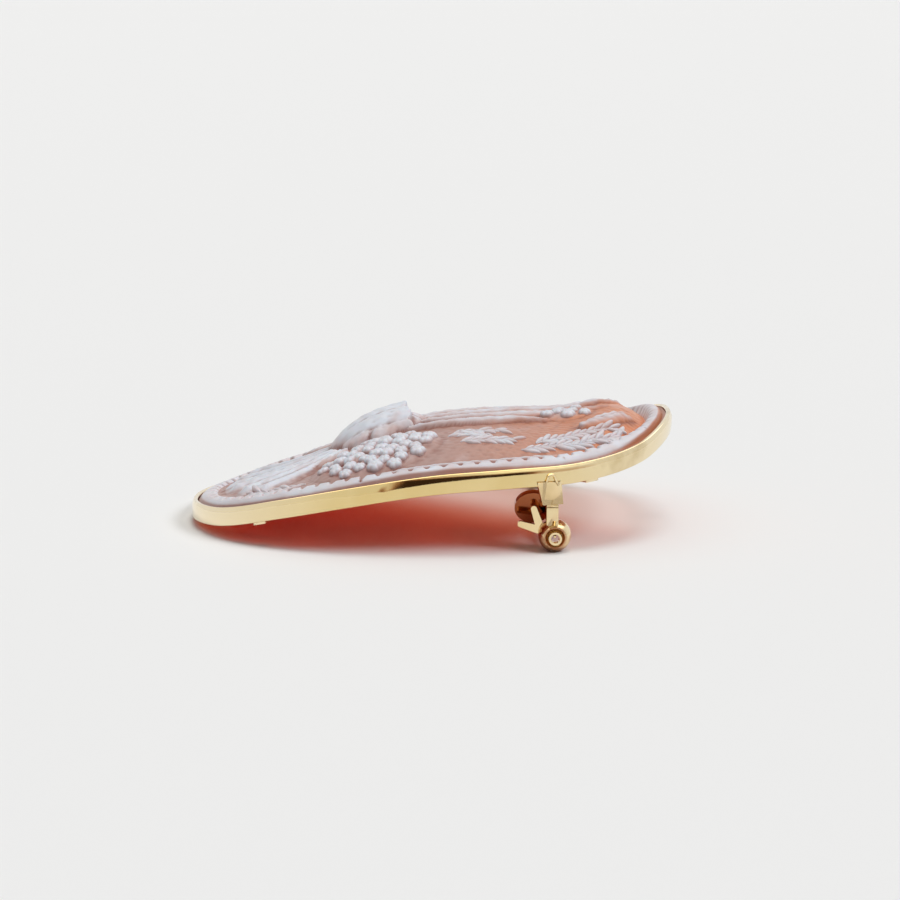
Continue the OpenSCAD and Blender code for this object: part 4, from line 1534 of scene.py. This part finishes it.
@dataclass(frozen=True)
class LeafSprays:
    """Sprays of small pointed leaves along curved stems on the ground."""

    carving: ShellCarving
    # Stems: start as shares, heading in degrees, bend in degrees for each millimetre, and length
    stems: Rows = ((0.36, -0.7, 20, -0.6, 11.5), (0.42, -0.62, 32, -2.4, 10.0), (0.5, -0.66, 14, 2.2, 8.5),
                   (0.09, -0.42, 12, -4.0, 5.4), (0.12, -0.57, 4, -2.0, 6.0),
                   (0.25, -0.5, 150, 5.0, 3.6), (-0.5, -0.62, 168, -3.0, 7.0), (0.3, 0.66, 2, -3.0, 8.0),
                   (-0.06, 0.7, 178, 2.5, 7.0))
    spacing: float = 0.46
    leaf_length: float = 2.1
    leaf_breadth: float = 0.2
    spread: float = 30.0
    stem_r: float = 0.13
    stem_white: float = 0.6
    step: float = 0.3
    seed: int = 4

    def template(self) -> bpy.types.Object:
        """One leaf of length 1 mm along +Y, with its root at the origin."""
        store = Bin()
        rows = 9
        across = np.linspace(-1, 1, 7)
        ids = []
        for k in range(rows):
            s = k / (rows - 1)
            half = self.leaf_breadth * math.sin(math.pi * min(1.0, s * 0.96 + 0.02)) ** 0.75
            rise = 0.15 * math.sin(math.pi * s) ** 0.5
            vein = 0.1 * rise * bump_at(across, 0.0, 0.2) * 2
            z = rise * (1 - across**2) - vein - 0.12 * np.abs(across) ** 3
            points = np.stack([across * half, np.full(7, s), z], -1)
            # Painted shade towards the leaf's edges, which are also less white
            ids.append(store.add_points(points, white=0.22 + 0.48 * (1 - across**2), crevice=0.4 * across**4))
        for low, high in zip(ids, ids[1:]):
            store.add_faces(np.stack([low[:-1], low[1:], high[1:], high[:-1]], -1))
        return store.build("leaf_template", [])

    def stem_points(self) -> tuple[np.ndarray, np.ndarray]:
        """The stems' lines.

        Returns:
            Points in millimetres, and pairs of indices that join them.
        """
        plate = self.carving.plate
        points, pairs = [], []
        step = self.step
        for sx, sy, heading, bend, length in self.stems:
            x, y, turn = sx * plate.half_l, sy * plate.half_w, math.radians(heading)
            first = len(points)
            for k in range(int(length / step)):
                points.append((x, y))
                if k:
                    pairs.append((first + k - 1, first + k))
                x, y = x + step * math.cos(turn), y + step * math.sin(turn)
                turn += math.radians(bend) * step
        flat = np.array(points)
        z = self.carving.surface(flat[:, 0], flat[:, 1])
        return np.column_stack([flat, z]), np.array(pairs)

    def build(self, finish: bpy.types.Material) -> bpy.types.Object:
        """Builds all the sprays as one piece.

        Args:
            finish: Their finish.

        Returns:
            The piece.
        """
        points, pairs = self.stem_points()
        up = surface_tilt(self.carving.surface, points[:, 0], points[:, 1], 0.9)
        source = standing_points("spray_stems", points, pairs.tolist(), up)
        template = self.template()
        maker = Maker("leaf_sprays", (
            Socket("Leaf", "NodeSocketObject", template),
            Socket("Spacing", "NodeSocketFloat", self.spacing * MM),
            Socket("Leaf length", "NodeSocketFloat", self.leaf_length),
            Socket("Spread", "NodeSocketFloat", math.radians(self.spread)),
            Socket("Stem radius", "NodeSocketFloat", self.stem_r * MM),
            Socket("Seed", "NodeSocketInt", self.seed), Socket("Finish", "NodeSocketMaterial", finish)))
        add, given = maker.sheet.add, maker.given
        stems = add("GeometryNodeMeshToCurve", {"Mesh": given["Geometry"]}).outputs[0]
        even = add("GeometryNodeResampleCurve", {"Curve": stems, "Length": given["Spacing"]},
                   mode="LENGTH").outputs[0]
        tangent = add("GeometryNodeInputTangent").outputs[0]
        headed = add("FunctionNodeAlignRotationToVector", {"Rotation": maker.standing(), "Vector": tangent},
                     axis="Y", pivot_axis="Z").outputs[0]
        maths = maker.sheet.maths
        odd = maths("MODULO", add("GeometryNodeInputIndex").outputs[0], 2.0)
        swing = maths("MULTIPLY", maths("MULTIPLY_ADD", odd, 2.0, -1.0), given["Spread"])
        jitter = maker.random(0.6, 1.3)
        loose = maths("MULTIPLY", swing, jitter)
        size = maths("MULTIPLY", jitter, given["Leaf length"])
        copies = maker.copies(even, "Leaf", headed, loose, size)
        ring = add("GeometryNodeCurvePrimitiveCircle", {"Resolution": 6, "Radius": given["Stem radius"]})
        stalk = add("GeometryNodeCurveToMesh", {"Curve": stems, "Profile Curve": ring.outputs[0],
                                                "Fill Caps": True}).outputs[0]
        pale = add("GeometryNodeStoreNamedAttribute", {
            "Geometry": stalk, "Name": "white", "Value": self.stem_white}, data_type="FLOAT").outputs[0]
        joined = add("GeometryNodeJoinGeometry", {0: copies})
        maker.tree.links.new(pale, joined.inputs[0])
        maker.finish(joined.outputs[0], given["Finish"])
        piece = maker.run(source, "leaf_sprays")
        remove_template(template)
        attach(piece, Body.PLATE.value)
        return piece


@dataclass(frozen=True)
class CatchAndPin:
    """The turning catch, the pin and its rivet: the CAD solids with a gold finish."""

    nodes: tuple[str, ...] = ("safety_catch", "brooch_pin", "hinge_rivet")

    def dress(self, gold: bpy.types.Material) -> list[bpy.types.Object]:
        """Gives the solids their finish.

        Args:
            gold: The finish.

        Returns:
            The solids.
        """
        found = [frame["nodes"][name] for name in self.nodes]
        for obj in found:
            obj.data.materials.clear()
            obj.data.materials.append(gold)
        return found


@dataclass(frozen=True)
class Studio:
    """Plain pale floor, soft light and the camera."""

    distance: float = 0.3
    elevation: float = 12.5
    lens: float = 99.96
    sensor: float = 36.0
    shift_x: float = 0.02156
    shift_y: float = 0.0741
    floor_size: float = 30.0
    floor_colour: Rgb = (0.84, 0.845, 0.85)
    room: Rgb = (0.80, 0.80, 0.80)
    overhead: Rgb = (2.1, 2.05, 1.95)
    fringe: Rgb = (0.42, 0.22, 0.13)
    dark_side: Rgb = (0.04, 0.022, 0.014)
    fill: float = 0.205
    # Soft distant lights: name, azimuth, elevation, strength, and how broad each looks in degrees
    suns: tuple[tuple[str, float, float, float, float], ...] = (
        ("overhead", 60, 82, 1.09, 26), ("window", 62, 42, 1.48, 24))
    # The room's dark side, by directions: where it sets in to the front, left, right and upwards
    dark_front: tuple[float, float] = (-0.5, -0.7)
    dark_left: tuple[float, float] = (-0.3, -0.2)
    dark_right: tuple[float, float] = (0.5, 0.36)
    dark_up: tuple[float, float] = (0.5, 0.38)
    # Where it is half as dark to the right, and where the bright ceiling begins
    beside: tuple[float, float] = (0.3, 0.5)
    ceiling: tuple[float, float] = (0.55, 0.8)

    def floor(self) -> bpy.types.Object:
        """Lays the floor."""
        material, sheet = new_material("pale_floor")
        matt = sheet.add("ShaderNodeBsdfPrincipled", {"Base Color": (*self.floor_colour, 1),
                                                      "Roughness": 0.75, "Specular IOR Level": 0.1})
        sheet.add("ShaderNodeOutputMaterial", {"Surface": matt.outputs[0]})
        half = self.floor_size / 2
        mesh = bpy.data.meshes.new("floor")
        corners = [(-half, -half, 0), (half, -half, 0), (half, half, 0), (-half, half, 0)]
        mesh.from_pydata(corners, [], [(0, 1, 2, 3)])
        mesh.materials.append(material)
        floor = new_object("floor", mesh)
        return floor

    def sun(self, name: str, azimuth: float, elevation: float, strength: float, spread: float) -> None:
        """Adds a soft distant light.

        Args:
            name: The light's name.
            azimuth: Where it stands: 0 on the camera's side, 180 behind, 90 on the right.
            elevation: How high it stands, in degrees.
            strength: Its strength.
            spread: How broad it looks, in degrees.
        """
        light = bpy.data.lights.new(name, "SUN")
        light.energy = strength
        light.angle = math.radians(spread)
        obj = new_object(name, light)
        a, e = math.radians(azimuth), math.radians(elevation)
        back = Vector((math.sin(a) * math.cos(e), -math.cos(a) * math.cos(e), math.sin(e)))
        obj.rotation_mode = "QUATERNION"
        obj.rotation_quaternion = back.to_track_quat("Z", "Y")
        obj.visible_glossy = False

    def world(self) -> None:
        """Soft white room, darker low down on the camera's side."""
        world = bpy.data.worlds.new("studio")
        bpy.context.scene.world = world
        world.use_nodes = True
        world.node_tree.nodes.clear()
        sheet = Sheet(world.node_tree)
        way = sheet.add("ShaderNodeTexCoord").outputs["Generated"]
        x, y, z = sheet.add("ShaderNodeSeparateXYZ", {0: way}).outputs
        block = sheet.maths("MULTIPLY", sheet.span(y, *self.dark_front), sheet.span(z, *self.dark_up))
        wide = sheet.maths("MULTIPLY", sheet.span(x, *self.dark_left), sheet.span(x, *self.dark_right))
        dark = sheet.maths("MULTIPLY", block, wide)
        half = sheet.maths("MULTIPLY", block, sheet.span(x, *self.beside, to_high=0.3))
        shade = sheet.maths("MAXIMUM", dark, half)
        open_tone = sheet.mix(sheet.span(z, *self.ceiling), self.room, self.overhead)
        fringe = sheet.mix(sheet.span(shade, high=0.6), open_tone, self.fringe)
        tone = sheet.mix(sheet.span(shade, low=0.4), fringe, self.dark_side)
        spread = sheet.add("ShaderNodeLightPath").outputs["Is Diffuse Ray"]
        strength = sheet.span(spread, to_low=1.0, to_high=self.fill)
        light = sheet.add("ShaderNodeBackground", {"Color": tone, "Strength": strength})
        sheet.add("ShaderNodeOutputWorld", {"Surface": light.outputs[0]})

    def camera(self) -> None:
        """Sets the camera at the photograph's angle."""
        data = bpy.data.cameras.new("camera")
        data.lens, data.sensor_width = self.lens, self.sensor
        data.shift_x, data.shift_y = self.shift_x, self.shift_y
        data.clip_start, data.clip_end = 0.01, 50.0
        obj = new_object("camera", data)
        e = math.radians(self.elevation)
        back = Vector((0.0, -math.cos(e), math.sin(e)))
        obj.location = back * self.distance
        obj.rotation_mode = "QUATERNION"
        obj.rotation_quaternion = back.to_track_quat("Z", "Y")
        bpy.context.scene.camera = obj

    def build(self) -> None:
        """Sets up the whole studio."""
        self.floor()
        self.world()
        for row in self.suns:
            self.sun(*row)
        self.camera()
        bpy.context.scene.view_settings.view_transform = "Standard"
        bpy.context.scene.view_settings.look = "None"


def report(obj: bpy.types.Object) -> None:
    """Logs one finished piece."""
    triangles = sum(len(p.vertices) - 2 for p in obj.data.polygons)
    LOG.info("%s: %d triangles", obj.name, triangles)


def main() -> None:
    """Builds the brooch's looks in order, then the studio."""
    logging.basicConfig(level=logging.INFO, format="%(name)s: %(message)s")
    plate, band = Plate(), BandSizes()
    carving = ShellCarving(plate, band, Relief(plate))
    gold = GoldFinish("polished_gold").material()
    findings_gold = GoldFinish("findings_gold", colour=(0.92, 0.76, 0.46), worn=(0.86, 0.66, 0.34)).material()
    face = ShellFinish("carved_shell").material()
    back = ShellFinish("shell_back", ground_low=(0.42, 0.1, 0.03), ground_high=(0.5, 0.16, 0.05),
                       roughness=0.3, all_ground=True).material()
    report(carving.build(face, back))
    report(SmallFlowers(carving).build(face))
    report(LeafSprays(carving).build(face))
    report(GoldBand(plate, band).build(gold))
    report(SolderedFindings(plate, band).build(findings_gold))
    for solid in CatchAndPin().dress(findings_gold):
        report(solid)
    Studio().build()
    bpy.context.view_layer.update()


if __name__ == "__main__":
    main()
